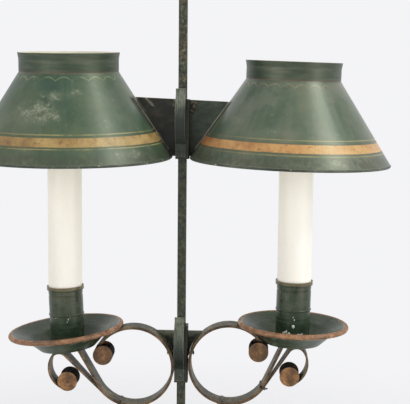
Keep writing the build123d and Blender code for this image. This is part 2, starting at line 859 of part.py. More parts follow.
def light_nipple(side):
    """Hollow threaded tube from the cup's floor up to the lampholder."""
    low = nut_level(side) - nipple_nut_thickness - nipple_below_nut
    high = holder_bottom + holder_nipple_depth
    tube = Pos(0, 0, low) * Cylinder(
        nipple_radius, high - low, align=(Align.CENTER, Align.CENTER, Align.MIN)
    )
    return placed_light(tube - Cylinder(nipple_bore, 3 * sleeve_length), side)


def nipple_nut(side):
    """Nut that draws the tube against the cup's floor."""
    nut = hexagon_nut(nipple_nut_flats, nipple_nut_thickness, nipple_radius + shank_clearance)
    return placed_light(Pos(0, 0, nut_level(side) - nipple_nut_thickness) * nut, side)


def lampholder(side):
    """Screw lampholder in the top of the candle sleeve."""
    cavity = cap_radius + cap_clearance
    thread = nipple_radius + shank_clearance
    cavity_floor = holder_top - holder_cavity_depth
    thread_top = holder_bottom + holder_nipple_depth
    body = turned(
        (thread, holder_bottom),
        (holder_radius - holder_shoulder, holder_bottom),
        (holder_radius, holder_bottom + holder_shoulder),
        (holder_radius, holder_top),
        (cavity, holder_top),
        (cavity, cavity_floor),
        (nipple_bore, cavity_floor),
        (nipple_bore, thread_top),
        (thread, thread_top),
    )
    return placed_light(body, side)


def bulb_cap(side):
    """Screw cap of the bulb with its centre contact."""
    cap = turned(
        (0, cap_bottom),
        (cap_button, cap_bottom),
        (cap_button, cap_bottom + cap_button / 2),
        (cap_radius, cap_bottom + 2 * cap_button),
        (cap_radius, cap_top),
        (0, cap_top),
    )
    return placed_light(cap, side)


def bulb_profile(shrink):
    """Body of the bulb: a ball on a short neck, drawn in by `shrink` all round."""
    ball_height = cap_top + bulb_neck_length + math.sqrt(bulb_radius**2 - bulb_neck_radius**2)
    ball = Pos(0, 0, ball_height) * Sphere(bulb_radius - shrink)
    neck = Pos(0, 0, cap_top) * Cylinder(
        bulb_neck_radius - shrink, ball_height - cap_top, align=(Align.CENTER, Align.CENTER, Align.MIN)
    )
    return ball + neck


def bulb_glass(side):
    """Thin glass envelope, open where the cap closes it."""
    return placed_light(bulb_profile(0) - bulb_profile(bulb_wall), side)


# Every node and its shape

nodes = {
    "felt_pad": felt_pad(),
    "base_weight": base_weight(),
    "base_dish": base_dish(),
    "base_rim": base_rim(),
    "stem_socket": stem_socket(),
    "stem_rod": stem_rod(),
    "stem_washer": stem_washer(),
    "stem_nut": stem_nut(),
    "top_ring": top_ring(),
    "shade_sleeve": slider_sleeve(shade_rim_height, shade_sleeve_height),
    "shade_spring": leaf_spring(shade_rim_height, shade_spring_span),
    "shade_spring_rivet": spring_rivet(shade_rim_height),
    "shade_web": shade_web(),
    "arm_sleeve": arm_sleeve(),
    "arm_spring": leaf_spring(arm_sleeve_bottom, arm_spring_span),
    "arm_spring_rivet": spring_rivet(arm_sleeve_bottom),
    "arm_web": arm_web(),
}

ring_roll = (ring_roll_x, ring_roll_z)
ring_core = roll_wrap - strip_thickness / 2 - seat_gap
scroll_core = roll_wrap - scroll_thickness / 2 - seat_gap
for side in sides:
    nodes[f"shade_cone_{side}"] = shade_cone(side)
    nodes[f"shade_collar_{side}"] = shade_collar(side)
    nodes[f"shade_rim_{side}"] = shade_rim(side)
    nodes[f"arm_ring_{side}"] = arm_ring(side)
    nodes[f"arm_scroll_{side}"] = arm_scroll(side)
    nodes[f"ring_roll_{side}"] = roll_bobbin(ring_roll, ring_core, side)
    nodes[f"scroll_roll_{side}"] = roll_bobbin(scroll_roll(side), scroll_core, side)
    nodes[f"arm_tie_{side}"] = arm_tie(side)
    nodes[f"arm_rivet_{side}"] = arm_rivet(side)
    nodes[f"drip_pan_{side}"] = drip_pan(side)
    nodes[f"pan_rim_{side}"] = pan_rim(side)
    nodes[f"candle_cup_{side}"] = candle_cup(side)
    nodes[f"candle_sleeve_{side}"] = candle_sleeve(side)
    nodes[f"light_nipple_{side}"] = light_nipple(side)
    nodes[f"nipple_nut_{side}"] = nipple_nut(side)
    nodes[f"lampholder_{side}"] = lampholder(side)
    nodes[f"bulb_cap_{side}"] = bulb_cap(side)
    nodes[f"bulb_glass_{side}"] = bulb_glass(side)

os.makedirs("parts", exist_ok=True)
for name, shape in nodes.items():
    export_step(shape, f"parts/{name}.step")
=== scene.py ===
import bpy
import math
from functools import partialmethod
from mathutils import Euler, Matrix, Vector, noise


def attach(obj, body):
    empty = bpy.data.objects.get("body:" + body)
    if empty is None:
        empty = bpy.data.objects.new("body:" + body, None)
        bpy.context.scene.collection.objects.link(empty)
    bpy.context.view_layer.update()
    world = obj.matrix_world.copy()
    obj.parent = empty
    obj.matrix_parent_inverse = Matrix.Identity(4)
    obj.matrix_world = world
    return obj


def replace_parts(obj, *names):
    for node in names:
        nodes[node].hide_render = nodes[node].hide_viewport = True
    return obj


# Looks of the two-light painted table lamp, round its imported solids. Lengths are metres and angles degrees,
# but turns round a shade are radians from its front.

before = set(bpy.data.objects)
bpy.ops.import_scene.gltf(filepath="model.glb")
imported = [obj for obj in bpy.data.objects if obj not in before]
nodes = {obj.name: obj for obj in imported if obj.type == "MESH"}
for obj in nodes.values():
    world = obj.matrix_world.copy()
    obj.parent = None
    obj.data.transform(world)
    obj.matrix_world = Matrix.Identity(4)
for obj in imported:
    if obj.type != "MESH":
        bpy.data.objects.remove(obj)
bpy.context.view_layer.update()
scene = bpy.context.scene
sides = ("left", "right")
hands = {"left": -1, "right": 1}

# Sizes shared with the solids
shade_rim_height = 0.300
shade_axis_x = {"left": 0.0806, "right": 0.0782}
shade_shift = {"left": 0.0020, "right": 0.0}
shade_tilt = {"left": 0.2, "right": 1.6}
shade_lean_back = {"left": -0.6, "right": 0.7}
cone_bottom = 0.0019
cone_height = {"left": 0.0605, "right": 0.0579}
arm_height = 0.1488
arm_droop = {"left": 6.5, "right": 2.0}
ring_centre_x = 0.03578
ring_roll = (0.0571, 0.0110)
scroll_roll = {"left": (0.08573, -0.00624), "right": (0.08083, -0.00624)}
light_x = {"left": 0.0832, "right": 0.0816}
pan_edge = {"left": 0.0403, "right": 0.0382}
pan_floor = 0.0192
cup_lean = {"left": 2.2, "right": 1.0}
cup_radius = 0.01265
cup_height = 0.0460
felt_radius = 0.057
felt_thickness = 0.002


def screen(*levels):
    """A colour as a screen shows it, 0 to 255, turned into the linear values that shaders take."""
    values = []
    for level in levels:
        share = level / 255
        values.append(share / 12.92 if share <= 0.04045 else ((share + 0.055) / 1.055) ** 2.4)
    return tuple(values)


class Look:
    """Builds one node material. Its colours are levels of a screen."""

    def __init__(self, name):
        self.material = bpy.data.materials.new(name)
        self.material.use_nodes = True
        self.tree = self.material.node_tree
        self.shader = self.tree.nodes["Principled BSDF"]
        coordinates = self.add("ShaderNodeTexCoord")
        self.place = coordinates.outputs["Object"]
        self.normal = coordinates.outputs["Normal"]

    def add(self, kind, **settings):
        node = self.tree.nodes.new(kind)
        for key, value in settings.items():
            setattr(node, key, value)
        return node

    def feed(self, socket, value):
        """Links a socket to another one, or sets its value."""
        if isinstance(value, bpy.types.NodeSocket):
            self.tree.links.new(value, socket)
        elif socket.type == "RGBA":
            socket.default_value = (*screen(*value), 1)
        else:
            socket.default_value = value

    def fill(self, node, values):
        """Feeds a node's first inputs, one after another."""
        for socket, value in zip(node.inputs, values):
            self.feed(socket, value)
        return node

    def number(self, operation, *values):
        return self.fill(self.add("ShaderNodeMath", operation=operation), values).outputs[0]

    times = partialmethod(number, "MULTIPLY")
    plus = partialmethod(number, "ADD")
    minus = partialmethod(number, "SUBTRACT")
    most = partialmethod(number, "MAXIMUM")
    divide = partialmethod(number, "DIVIDE")
    times_plus = partialmethod(number, "MULTIPLY_ADD")
    size = partialmethod(number, "ABSOLUTE")

    def vector(self, operation, *values):
        return self.fill(self.add("ShaderNodeVectorMath", operation=operation), values).outputs["Value"]

    def split(self, vector):
        return self.fill(self.add("ShaderNodeSeparateXYZ"), [vector]).outputs[:3]

    def join(self, x, y, z):
        return self.fill(self.add("ShaderNodeCombineXYZ"), (x, y, z)).outputs[0]

    def length(self, x, y, z):
        return self.vector("LENGTH", self.join(x, y, z))

    def local(self, location, turn, lean=0.0):
        """Coordinates in a frame set at a location, leaning about X and turned about Y."""
        node = self.add("ShaderNodeMapping", vector_type="TEXTURE")
        self.fill(node, (self.place, location, (math.radians(lean), math.radians(turn), 0)))
        return node.outputs[0]

    def noise(self, scale, detail, rough, where=None):
        """Noise over the object's own coordinates, or others."""
        node = self.add("ShaderNodeTexNoise")
        self.feed(node.inputs["Vector"], self.place if where is None else where)
        node.inputs["Scale"].default_value = scale
        node.inputs["Detail"].default_value = detail
        node.inputs["Roughness"].default_value = rough
        return node.outputs[0]

    def step(self, value, low, high, start=0.0, end=1.0):
        """Smooth step of a value from `low` to `high`, clamped outside them."""
        node = self.add("ShaderNodeMapRange", interpolation_type="SMOOTHSTEP")
        return self.fill(node, (value, low, high, start, end)).outputs[0]

    def band(self, value, low, high, soft):
        """1 between `low` and `high`, with soft ends."""
        rise = self.step(value, low - soft, low + soft)
        fall = self.step(value, high - soft, high + soft, 1.0, 0.0)
        return self.times(rise, fall)

    def mix(self, share, first, second):
        node = self.add("ShaderNodeMix", data_type="RGBA")
        self.feed(node.inputs[0], share)
        self.feed(node.inputs[6], first)
        self.feed(node.inputs[7], second)
        return node.outputs[2]

    def tint(self, colour, tone, value, *limits):
        """Mixes a tone into a colour by a step of a value."""
        return self.mix(self.step(value, *limits), colour, tone)

    def ramp(self, value, *stops, linear=False):
        """Colour along a value, from (position, colour) stops."""
        node = self.add("ShaderNodeValToRGB")
        elements = node.color_ramp.elements
        while len(elements) < len(stops):
            elements.new(0.5)
        for element, (position, colour) in zip(elements, stops):
            element.position = position
            element.color = (*(colour if linear else screen(*colour)), 1)
        return self.fill(node, [value]).outputs[0]

    def worn_edges(self, reach, value, *limits):
        """1 close to sharp edges and 0 on open faces, broken up by a step of a value."""
        bevel = self.add("ShaderNodeBevel", samples=6)
        bevel.inputs["Radius"].default_value = reach
        flat = self.add("ShaderNodeNewGeometry").outputs["Normal"]
        likeness = self.vector("DOT_PRODUCT", bevel.outputs[0], flat)
        edge = self.step(self.minus(1.0, likeness), 0.01, 0.12)
        return self.times(edge, self.step(value, *limits))

    def bump(self, height, strength, distance):
        node = self.add("ShaderNodeBump")
        node.inputs["Strength"].default_value = strength
        node.inputs["Distance"].default_value = distance
        self.feed(node.inputs["Height"], height)
        self.feed(self.shader.inputs["Normal"], node.outputs[0])

    def set(self, name, value):
        """Sets an input of the shader as it is, a colour with linear values."""
        self.shader.inputs[name].default_value = value

    def shade(self, name, value):
        self.feed(self.shader.inputs[name], value)

    colour = partialmethod(shade, "Base Color")
    rough = partialmethod(shade, "Roughness")
    metal = partialmethod(shade, "Metallic")
    shine = partialmethod(shade, "Specular IOR Level")


# Paint and metal finishes


def worn_paint(name, dark, mid, pale, bare, wear, chips=0.70):
    """Old paint on iron: cloudy colour, fine specks, rubbed edges and small chips down to the metal."""
    look = Look(name)
    cloud = look.noise(38.0, 4.0, 0.6)
    grain = look.noise(420.0, 3.0, 0.6)
    colour = look.ramp(cloud, (0.3, dark), (0.5, mid), (0.72, pale))
    colour = look.tint(colour, pale, grain, 0.5, 0.8, 0.0, 0.45)
    colour = look.tint(colour, dark, grain, 0.28, 0.46, 0.5, 0.0)
    worn = look.noise(130.0, 5.0, 0.65)
    edge = look.worn_edges(0.0007, worn, 0.34, 0.6, 0.0, wear)
    chip = look.step(look.noise(210.0, 4.0, 0.6), chips, chips + 0.05)
    rubbed = look.most(edge, chip)
    look.colour(look.mix(rubbed, colour, bare))
    look.rough(look.step(worn, 0.25, 0.75, 0.34, 0.56))
    look.bump(look.minus(look.times(grain, 0.5), rubbed), 0.25, 0.0002)
    look.shine(0.3)
    return look.material


def spring_paint(name, painted_shade_low, painted_shade_high):
    """Leaf spring: dark paint with rubbed edges. Its upper part is pale, partly finger wear and partly
    painted highlight, a band below it is painted shade, and its foot is a little lighter.
    """
    look = Look(name)
    x, y, z = look.split(look.place)
    cloud = look.noise(120.0, 4.0, 0.6)
    drawn = look.join(look.times(x, 6.0), y, look.times(z, 0.35))
    scratch = look.noise(260.0, 4.0, 0.65, drawn)
    at = look.plus(z, look.times_plus(cloud, 0.01, -0.005))
    pale = look.ramp(scratch, (0.3, (68, 74, 62)), (0.5, (98, 104, 90)), (0.72, (138, 141, 124)))
    deep = look.ramp(scratch, (0.3, (18, 25, 19)), (0.55, (29, 36, 29)), (0.75, (46, 52, 43)))
    foot = look.ramp(scratch, (0.3, (34, 41, 33)), (0.55, (48, 56, 46)), (0.75, (70, 78, 65)))
    # Painted shade in a band above the foot, and a painted highlight above that band
    colour = look.tint(foot, deep, at, painted_shade_low - 0.004, painted_shade_low + 0.003)
    colour = look.tint(colour, pale, at, painted_shade_high - 0.002, painted_shade_high + 0.018)
    mottle = look.noise(420.0, 4.0, 0.65)
    colour = look.tint(colour, (40, 46, 38), mottle, 0.28, 0.46, 0.6, 0.0)
    rubbed = look.worn_edges(0.0006, cloud, 0.35, 0.6, 0.2, 0.85)
    look.colour(look.mix(rubbed, colour, (140, 136, 116)))
    look.rough(look.step(scratch, 0.25, 0.75, 0.34, 0.5))
    look.bump(scratch, 0.2, 0.0002)
    look.shine(0.4)
    return look.material


def web_paint():
    """Plate between the shades: brown to the left, green to the right, rusty near the sleeve."""
    look = Look("web_paint")
    x, y, z = look.split(look.place)
    cloud = look.noise(60.0, 5.0, 0.62)
    fine = look.noise(420.0, 3.0, 0.6)
    brush = look.noise(110.0, 5.0, 0.65, look.join(x, y, look.times(z, 1.8)))
    green = look.ramp(brush, (0.28, (44, 53, 43)), (0.5, (63, 74, 60)), (0.74, (88, 97, 80)))
    brown = look.ramp(brush, (0.28, (22, 23, 17)), (0.5, (38, 41, 31)), (0.74, (66, 68, 53)))
    towards = look.plus(x, look.times_plus(cloud, 0.03, -0.015))
    colour = look.tint(brown, green, towards, -0.002, 0.012)
    # Darker towards the bottom: painted shade, deep in the gap between the two shades
    colour = look.tint(colour, (30, 33, 26), z, 0.304, 0.332, 0.6, 0.0)
    spots = look.step(look.noise(150.0, 5.0, 0.7), 0.56, 0.68, 0.0, 0.75)
    rust = look.times(spots, look.step(x, -0.004, 0.014, 1.0, 0.15))
    colour = look.mix(rust, colour, (80, 58, 42))
    colour = look.tint(colour, (98, 94, 78), fine, 0.62, 0.78, 0.0, 0.5)

    # A pale streak runs down the plate's upper left, beside the flange
    slope, streak_low, streak_high = 0.88, 0.2742, 0.2762
    streak = look.band(look.times_plus(z, slope, x), streak_low, streak_high, 0.0009)
    streak = look.times(streak, look.step(z, 0.3362, 0.34, 0.0, 0.9))
    streak = look.times(streak, look.step(fine, 0.36, 0.6, 0.2, 1.0))
    colour = look.mix(streak, colour, (176, 176, 156))

    # The flanges stand before the plate, and their front edges are rubbed to the tinned metal
    plate_start = 0.0046
    flange = look.step(y, plate_start - 0.0006, plate_start, 1.0, 0.0)
    front = look.step(look.split(look.normal)[1], -0.6, -0.35, 1.0, 0.0)
    bare = look.times(look.times(flange, front), look.step(cloud, 0.34, 0.54, 0.6, 1.0))
    edge = look.worn_edges(0.0009, cloud, 0.36, 0.6, 0.15, 0.8)
    rubbed = look.most(bare, edge)
    look.colour(look.mix(rubbed, colour, (156, 152, 136)))
    look.rough(look.step(cloud, 0.25, 0.75, 0.38, 0.56))
    look.bump(look.minus(look.times(brush, 0.6), rubbed), 0.25, 0.0002)
    look.shine(0.35)
    return look.material


def low_web_paint():
    """Plate behind the lower sleeve: olive in a band along its upper edge, nearly black below, its edges
    rubbed.
    """
    look = Look("low_web_paint")
    z = look.split(look.place)[2]
    cloud = look.noise(60.0, 5.0, 0.62)
    grain = look.noise(420.0, 3.0, 0.6)
    olive = look.ramp(grain, (0.3, (98, 100, 84)), (0.5, (122, 125, 107)), (0.72, (150, 152, 132)))
    black = look.ramp(grain, (0.3, (36, 38, 30)), (0.5, (56, 59, 48)), (0.72, (84, 88, 74)))
    at = look.plus(z, look.times_plus(cloud, 0.006, -0.003))
    black_top, olive_bottom = 0.1650, 0.1692
    colour = look.tint(black, olive, at, black_top, olive_bottom)
    rubbed = look.worn_edges(0.0007, cloud, 0.34, 0.6, 0.0, 0.7)
    look.colour(look.mix(rubbed, colour, (140, 132, 108)))
    look.rough(look.step(cloud, 0.25, 0.75, 0.36, 0.56))
    look.bump(look.minus(look.times(grain, 0.5), rubbed), 0.25, 0.0002)
    look.shine(0.3)
    return look.material


def plain_metal(name, dark, mid, pale, roughness=0.4, metallic=0.8):
    """Dull metal with cloudy tarnish and fine pits."""
    look = Look(name)
    look.metal(metallic)
    cloud = look.noise(90.0, 5.0, 0.62)
    pits = look.noise(900.0, 2.0, 0.5)
    colour = look.ramp(cloud, (0.3, dark), (0.52, mid), (0.74, pale))
    look.colour(look.tint(colour, dark, pits, 0.3, 0.45, 0.55, 0.0))
    look.rough(look.step(cloud, 0.25, 0.75, roughness + 0.12, roughness - 0.08))
    look.bump(pits, 0.25, 0.0002)
    return look.material


roll_tones = ((58, 44, 32), (112, 80, 50), (154, 110, 68), (190, 146, 98))
rim_tones = ((74, 56, 40), (130, 94, 66), (160, 116, 82), (204, 164, 126))


def tarnished_gilt(name, tones, sides_dark, shadow_share=0.0):
    """Gilding gone brown in patches, with a share of dark brown over all of it as painted shade. With
    `sides_dark`, only faces to the front and back keep it.
    """
    look = Look(name)
    cloud = look.noise(150.0, 5.0, 0.65)
    speck = look.noise(620.0, 3.0, 0.6)
    colour = look.ramp(cloud, *zip((0.28, 0.45, 0.58, 0.72), tones))
    colour = look.tint(colour, (76, 62, 43), speck, 0.5, 0.66, 0.0, 0.55)
    # Painted shade: a share of dark brown over all of the gilding
    colour = look.mix(shadow_share, colour, (66, 50, 34))
    if sides_dark:
        facing = look.size(look.split(look.normal)[1])
        kept = look.step(facing, 0.55, 0.8)
        colour = look.mix(kept, (15, 16, 13), colour)
        look.metal(look.times(kept, 0.35))
        look.shine(look.step(kept, 0.0, 1.0, 0.05, 0.5))
    else:
        look.metal(look.step(cloud, 0.35, 0.7, 0.15, 0.45))
    look.colour(colour)
    look.rough(look.step(cloud, 0.25, 0.75, 0.58, 0.4))
    look.bump(look.plus(cloud, look.times(speck, 0.4)), 0.35, 0.0003)
    return look.material


def shade_paint(side):
    """Green paint of one shade, with gilt lines outside and cream paint inside."""
    hand = hands[side]
    look = Look(f"shade_paint_{side}")
    there = look.local(
        (hand * shade_shift[side], 0, shade_rim_height), hand * shade_tilt[side], -shade_lean_back[side]
    )
    x, y, z = look.split(there)
    across = look.minus(x, hand * shade_axis_x[side])
    share = look.divide(look.minus(z, cone_bottom), cone_height[side])
    turn = look.number("ARCTAN2", across, look.times(y, -1.0))
    cloud = look.noise(26.0, 4.0, 0.6)
    hue = look.noise(13.0, 3.0, 0.55)
    fine = look.noise(240.0, 4.0, 0.6)
    tall = look.join(look.times(turn, 4.5), look.times(share, 0.8), hand)
    streak = look.noise(2.2, 3.0, 0.6, tall)
    brushed = look.noise(14.0, 3.0, 0.6, look.join(look.times(turn, 2.0), share, hand))

    # Green body between teal and olive, greyer in streaks and browner towards the rim
    teals = {
        "left": ((32, 58, 47), (42, 71, 57), (62, 88, 71)),
        "right": ((54, 70, 57), (67, 84, 68), (90, 104, 86)),
    }
    olives = {
        "left": ((48, 62, 45), (61, 77, 56), (84, 95, 72)),
        "right": ((74, 77, 62), (91, 93, 76), (112, 112, 93)),
    }
    teal = look.ramp(cloud, *zip((0.3, 0.5, 0.76), teals[side]))
    olive = look.ramp(cloud, *zip((0.3, 0.5, 0.76), olives[side]))
    green = look.tint(teal, olive, hue, 0.36, 0.64)
    green = look.tint(green, olives[side][2], streak, 0.45, 0.75, 0.0, 0.3)
    greys = look.noise(34.0, 4.0, 0.6)
    dull = {"left": 0.25, "right": 0.42}
    green = look.tint(green, (104, 107, 96), greys, 0.48, 0.64, 0.0, dull[side])
    green = look.tint(green, (112, 120, 102), fine, 0.58, 0.8, 0.0, 0.5)
    green = look.tint(green, (38, 54, 46), fine, 0.22, 0.42, 0.5, 0.0)
    low = look.step(share, 0.06, 0.17, 0.75, 0.0)
    green = look.mix(look.times(low, look.step(brushed, 0.3, 0.6)), green, (58, 60, 50))
    # Beside the flange, on the side towards the rod, the cone is painted darker and rougher: painted shade
    # where the plate and flange keep the light off
    seam = look.times_plus(share, -0.36, 1.62)
    before_seam = look.minus(seam, look.times(turn, -hand))
    beside_seam = look.band(before_seam, -0.36, 0.09, 0.04)
    seam_shadow = look.times(beside_seam, look.step(share, 0.68, 0.73, 1.0, 0.0))
    seam_shadow = look.times(seam_shadow, look.step(brushed, 0.3, 0.55, 0.6, 1.0))
    green = look.mix(seam_shadow, green, (34, 36, 29))
    collar = look.step(share, 0.995, 1.005)
    round_belts = look.join(look.times(turn, 0.7), look.times(share, 9.0), hand)
    belts = look.noise(2.4, 4.0, 0.6, round_belts)
    dark = look.ramp(belts, (0.32, (30, 38, 29)), (0.5, (43, 57, 44)), (0.7, (76, 78, 65)))
    green = look.mix(look.times(collar, 0.9), green, dark)
    joint = look.band(share, 0.988, 1.022, 0.008)
    green = look.mix(look.times(joint, 0.6), green, (70, 60, 48))

    # Rubbed patches: a pale haze broken up by fine flecks, densest on the left shade.
    # Each has a middle in turn and share, its half widths and its weight.
    patches = {
        "left": (
            (-0.28, 0.58, 0.36, 0.16, 1.0), (0.27, 0.79, 0.12, 0.04, 0.7), (0.56, 0.46, 0.12, 0.12, 0.5),
            (0.76, 0.10, 0.22, 0.06, 0.7), (-0.08, 0.75, 0.30, 0.07, 0.8), (-0.02, 0.52, 0.12, 0.06, 0.7),
        ),
        "right": (
            (0.43, 0.08, 0.08, 0.05, 1.0), (-0.9, 0.50, 0.22, 0.06, 0.4), (0.2, 0.05, 0.5, 0.05, 0.4),
            (-0.3, 0.40, 0.16, 0.06, 0.35),
        ),
    }
    crumbs = look.noise(420.0, 5.0, 0.7)
    broken = look.noise(95.0, 4.0, 0.6)
    rubbed = look.step(crumbs, 0.7, 0.8, 0.0, 0.4)
    haze = 0.0
    for middle_turn, middle_share, half_turn, half_share, weight in patches[side]:
        over = look.divide(look.minus(turn, middle_turn), half_turn)
        up = look.divide(look.minus(share, middle_share), half_share)
        away = look.length(over, up, 0.0)
        near = look.step(away, 0.25, 1.25, weight, 0.0)
        near = look.times(near, look.step(broken, 0.36, 0.62, 0.25, 1.0))
        haze = look.most(haze, near)
    flecks = look.step(look.times_plus(haze, 0.22, crumbs), 0.56, 0.78, 0.0, 0.5)
    rubbed = look.most(rubbed, look.times(flecks, look.step(haze, 0.05, 0.4)))
    green = look.mix(look.times(haze, 0.5), green, (116, 122, 100))
    green = look.mix(rubbed, green, (150, 152, 132))

    # Gilt band between two fine lines, and a row of scallops under the collar
    at = look.plus(share, look.times(look.minus(cloud, 0.5), 0.014))
    lines = {
        "left": ((0.194, 0.294), (0.321, 0.333), (0.165, 0.177)),
        "right": ((0.174, 0.273), (0.313, 0.324), (0.138, 0.149)),
    }
    broad_line, upper_line, lower_line = lines[side]
    broad = look.band(at, *broad_line, 0.006)
    upper = look.band(at, *upper_line, 0.005)
    lower = look.band(at, *lower_line, 0.005)
    outline = look.band(at, broad_line[0] - 0.012, broad_line[1] + 0.012, 0.008)
    green = look.mix(look.times(outline, 0.4), green, (52, 58, 44))
    lobes, first_point = {"left": (21, -0.09), "right": (24, 0.004)}[side]
    whole_turn = 2 * math.pi
    from_first = look.plus(turn, whole_turn - first_point)
    lobe = look.number("FRACT", look.times(from_first, lobes / whole_turn))
    arch = look.times(look.times(lobe, look.minus(1.0, lobe)), 4.0)
    line_height = look.times_plus(arch, 0.044, 0.915)
    offset = look.size(look.minus(share, line_height))
    scallop = look.step(offset, 0.002, 0.012, 1.0, 0.0)
    faded = look.noise(70.0, 4.0, 0.7)
    thin = look.times(look.most(upper, lower), look.step(faded, 0.32, 0.58, 0.15, 0.7))
    scallop = look.times(scallop, look.step(faded, 0.38, 0.64, 0.05, 0.48))
    broad = look.times(broad, look.step(crumbs, 0.26, 0.4, 0.6, 0.97))
    gold_tones = {
        "left": ((110, 78, 48), (150, 122, 75), (178, 150, 97)),
        "right": ((138, 88, 54), (184, 138, 84), (198, 159, 104)),
    }
    deep, mid, pale = gold_tones[side]
    tone = look.noise(85.0, 5.0, 0.65)
    tone = look.plus(tone, look.step(turn, -0.9, 0.9, -0.06, 0.1))
    gold = look.ramp(tone, (0.28, deep), (0.5, mid), (0.72, pale))
    gold = look.tint(gold, deep, fine, 0.54, 0.72, 0.0, 0.7)
    gold = look.tint(gold, (84, 72, 50), crumbs, 0.6, 0.74, 0.0, 0.6)
    red_end = {"left": (-0.95, -0.35, 0.5), "right": (-1.30, -0.80, 0.8)}[side]
    red = look.ramp(fine, (0.36, (108, 68, 48)), (0.64, (178, 122, 78)))
    gold = look.tint(gold, red, turn, *red_end, 0.0)
    line_gold = look.tint((108, 88, 64), (162, 150, 98), turn, -1.1, 0.1)
    gold = look.tint(line_gold, gold, broad, 0.0, 0.2)
    scallop_tones = {"left": (156, 160, 112), "right": (152, 134, 102)}
    gold = look.tint(gold, scallop_tones[side], share, 0.85, 0.88)
    gilt = look.most(broad, look.most(thin, scallop))
    outside = look.mix(gilt, green, gold)
    edge = look.worn_edges(0.0006, fine, 0.35, 0.65, 0.2, 0.7)
    outside = look.mix(edge, outside, (136, 130, 112))

    # Cream inside, where the surface faces the axis of the shade
    inward = look.vector("DOT_PRODUCT", look.normal, look.join(across, y, 0.0))
    inside = look.step(inward, -0.004, 0.001, 1.0, 0.0)
    cream = look.ramp(cloud, (0.3, (214, 206, 184)), (0.55, (230, 224, 206)), (0.75, (238, 234, 220)))
    cream = look.tint(cream, (188, 174, 144), fine, 0.6, 0.82, 0.0, 0.4)
    look.colour(look.mix(inside, outside, cream))
    gloss = {"left": (0.35, 0.41), "right": (0.29, 0.35)}
    rough = look.step(streak, 0.3, 0.75, *gloss[side])
    rough = look.times_plus(seam_shadow, 0.35, rough)
    look.rough(look.times_plus(collar, 0.1, rough))
    look.shine(0.55)
    look.set("Specular Tint", (0.94, 1.0, 0.78, 1))
    relief = look.plus(look.times(cloud, 0.8), look.times(fine, 0.25))
    look.bump(relief, 0.22, 0.0006)
    return look.material


def arm_paint(side):
    """Grey-green strip, worn to brown gilding along its narrow edges and black inside the rolls."""
    hand = hands[side]
    look = Look(f"arm_paint_{side}")
    x, _, z = look.split(look.local((0, 0, arm_height), hand * arm_droop[side]))
    facing = look.size(look.split(look.normal)[1])
    edge_face = look.step(facing, 0.55, 0.8)
    cloud = look.noise(70.0, 5.0, 0.62)
    fine = look.noise(420.0, 3.0, 0.6)
    face = look.ramp(cloud, (0.34, (30, 36, 27)), (0.5, (66, 69, 54)), (0.64, (136, 130, 108)))
    face = look.tint(face, (142, 126, 98), fine, 0.54, 0.7, 0.0, 0.5)
    face = look.tint(face, (30, 33, 26), fine, 0.34, 0.46, 0.7, 0.0)
    edge = look.ramp(cloud, (0.3, (48, 40, 32)), (0.5, (102, 84, 67)), (0.7, (160, 130, 104)))
    edge = look.tint(edge, (48, 46, 36), fine, 0.3, 0.48, 0.7, 0.0)
    patch = look.noise(34.0, 4.0, 0.6)
    edge = look.tint(edge, (54, 50, 41), patch, 0.48, 0.64, 0.0, 0.75)
    face = look.tint(face, (50, 54, 45), patch, 0.52, 0.7, 0.0, 0.6)
    rubbed = look.worn_edges(0.0006, fine, 0.35, 0.6, 0.1, 0.7)
    colour = look.mix(edge_face, face, edge)
    colour = look.mix(rubbed, colour, (154, 122, 84))
    rolled = 0.0
    roll_inner, roll_outer = 0.0074, 0.01
    for centre in (ring_roll, scroll_roll[side]):
        over = look.minus(x, hand * centre[0])
        up = look.minus(z, centre[1])
        away = look.length(over, 0.0, up)
        near = look.step(away, roll_inner, roll_outer, 1.0, 0.0)
        rolled = look.most(rolled, near)
    look.colour(look.mix(look.times(rolled, 0.95), colour, (15, 16, 13)))
    look.metal(look.times(edge_face, 0.2))
    look.shine(look.step(rolled, 0.0, 1.0, 0.2, 0.04))
    look.set("Specular Tint", (1.0, 0.96, 0.8, 1))
    rough = look.step(cloud, 0.3, 0.7, 0.36, 0.58)
    look.rough(look.most(rough, look.times(rolled, 0.8)))
    look.bump(look.plus(cloud, fine), 0.2, 0.0003)
    return look.material


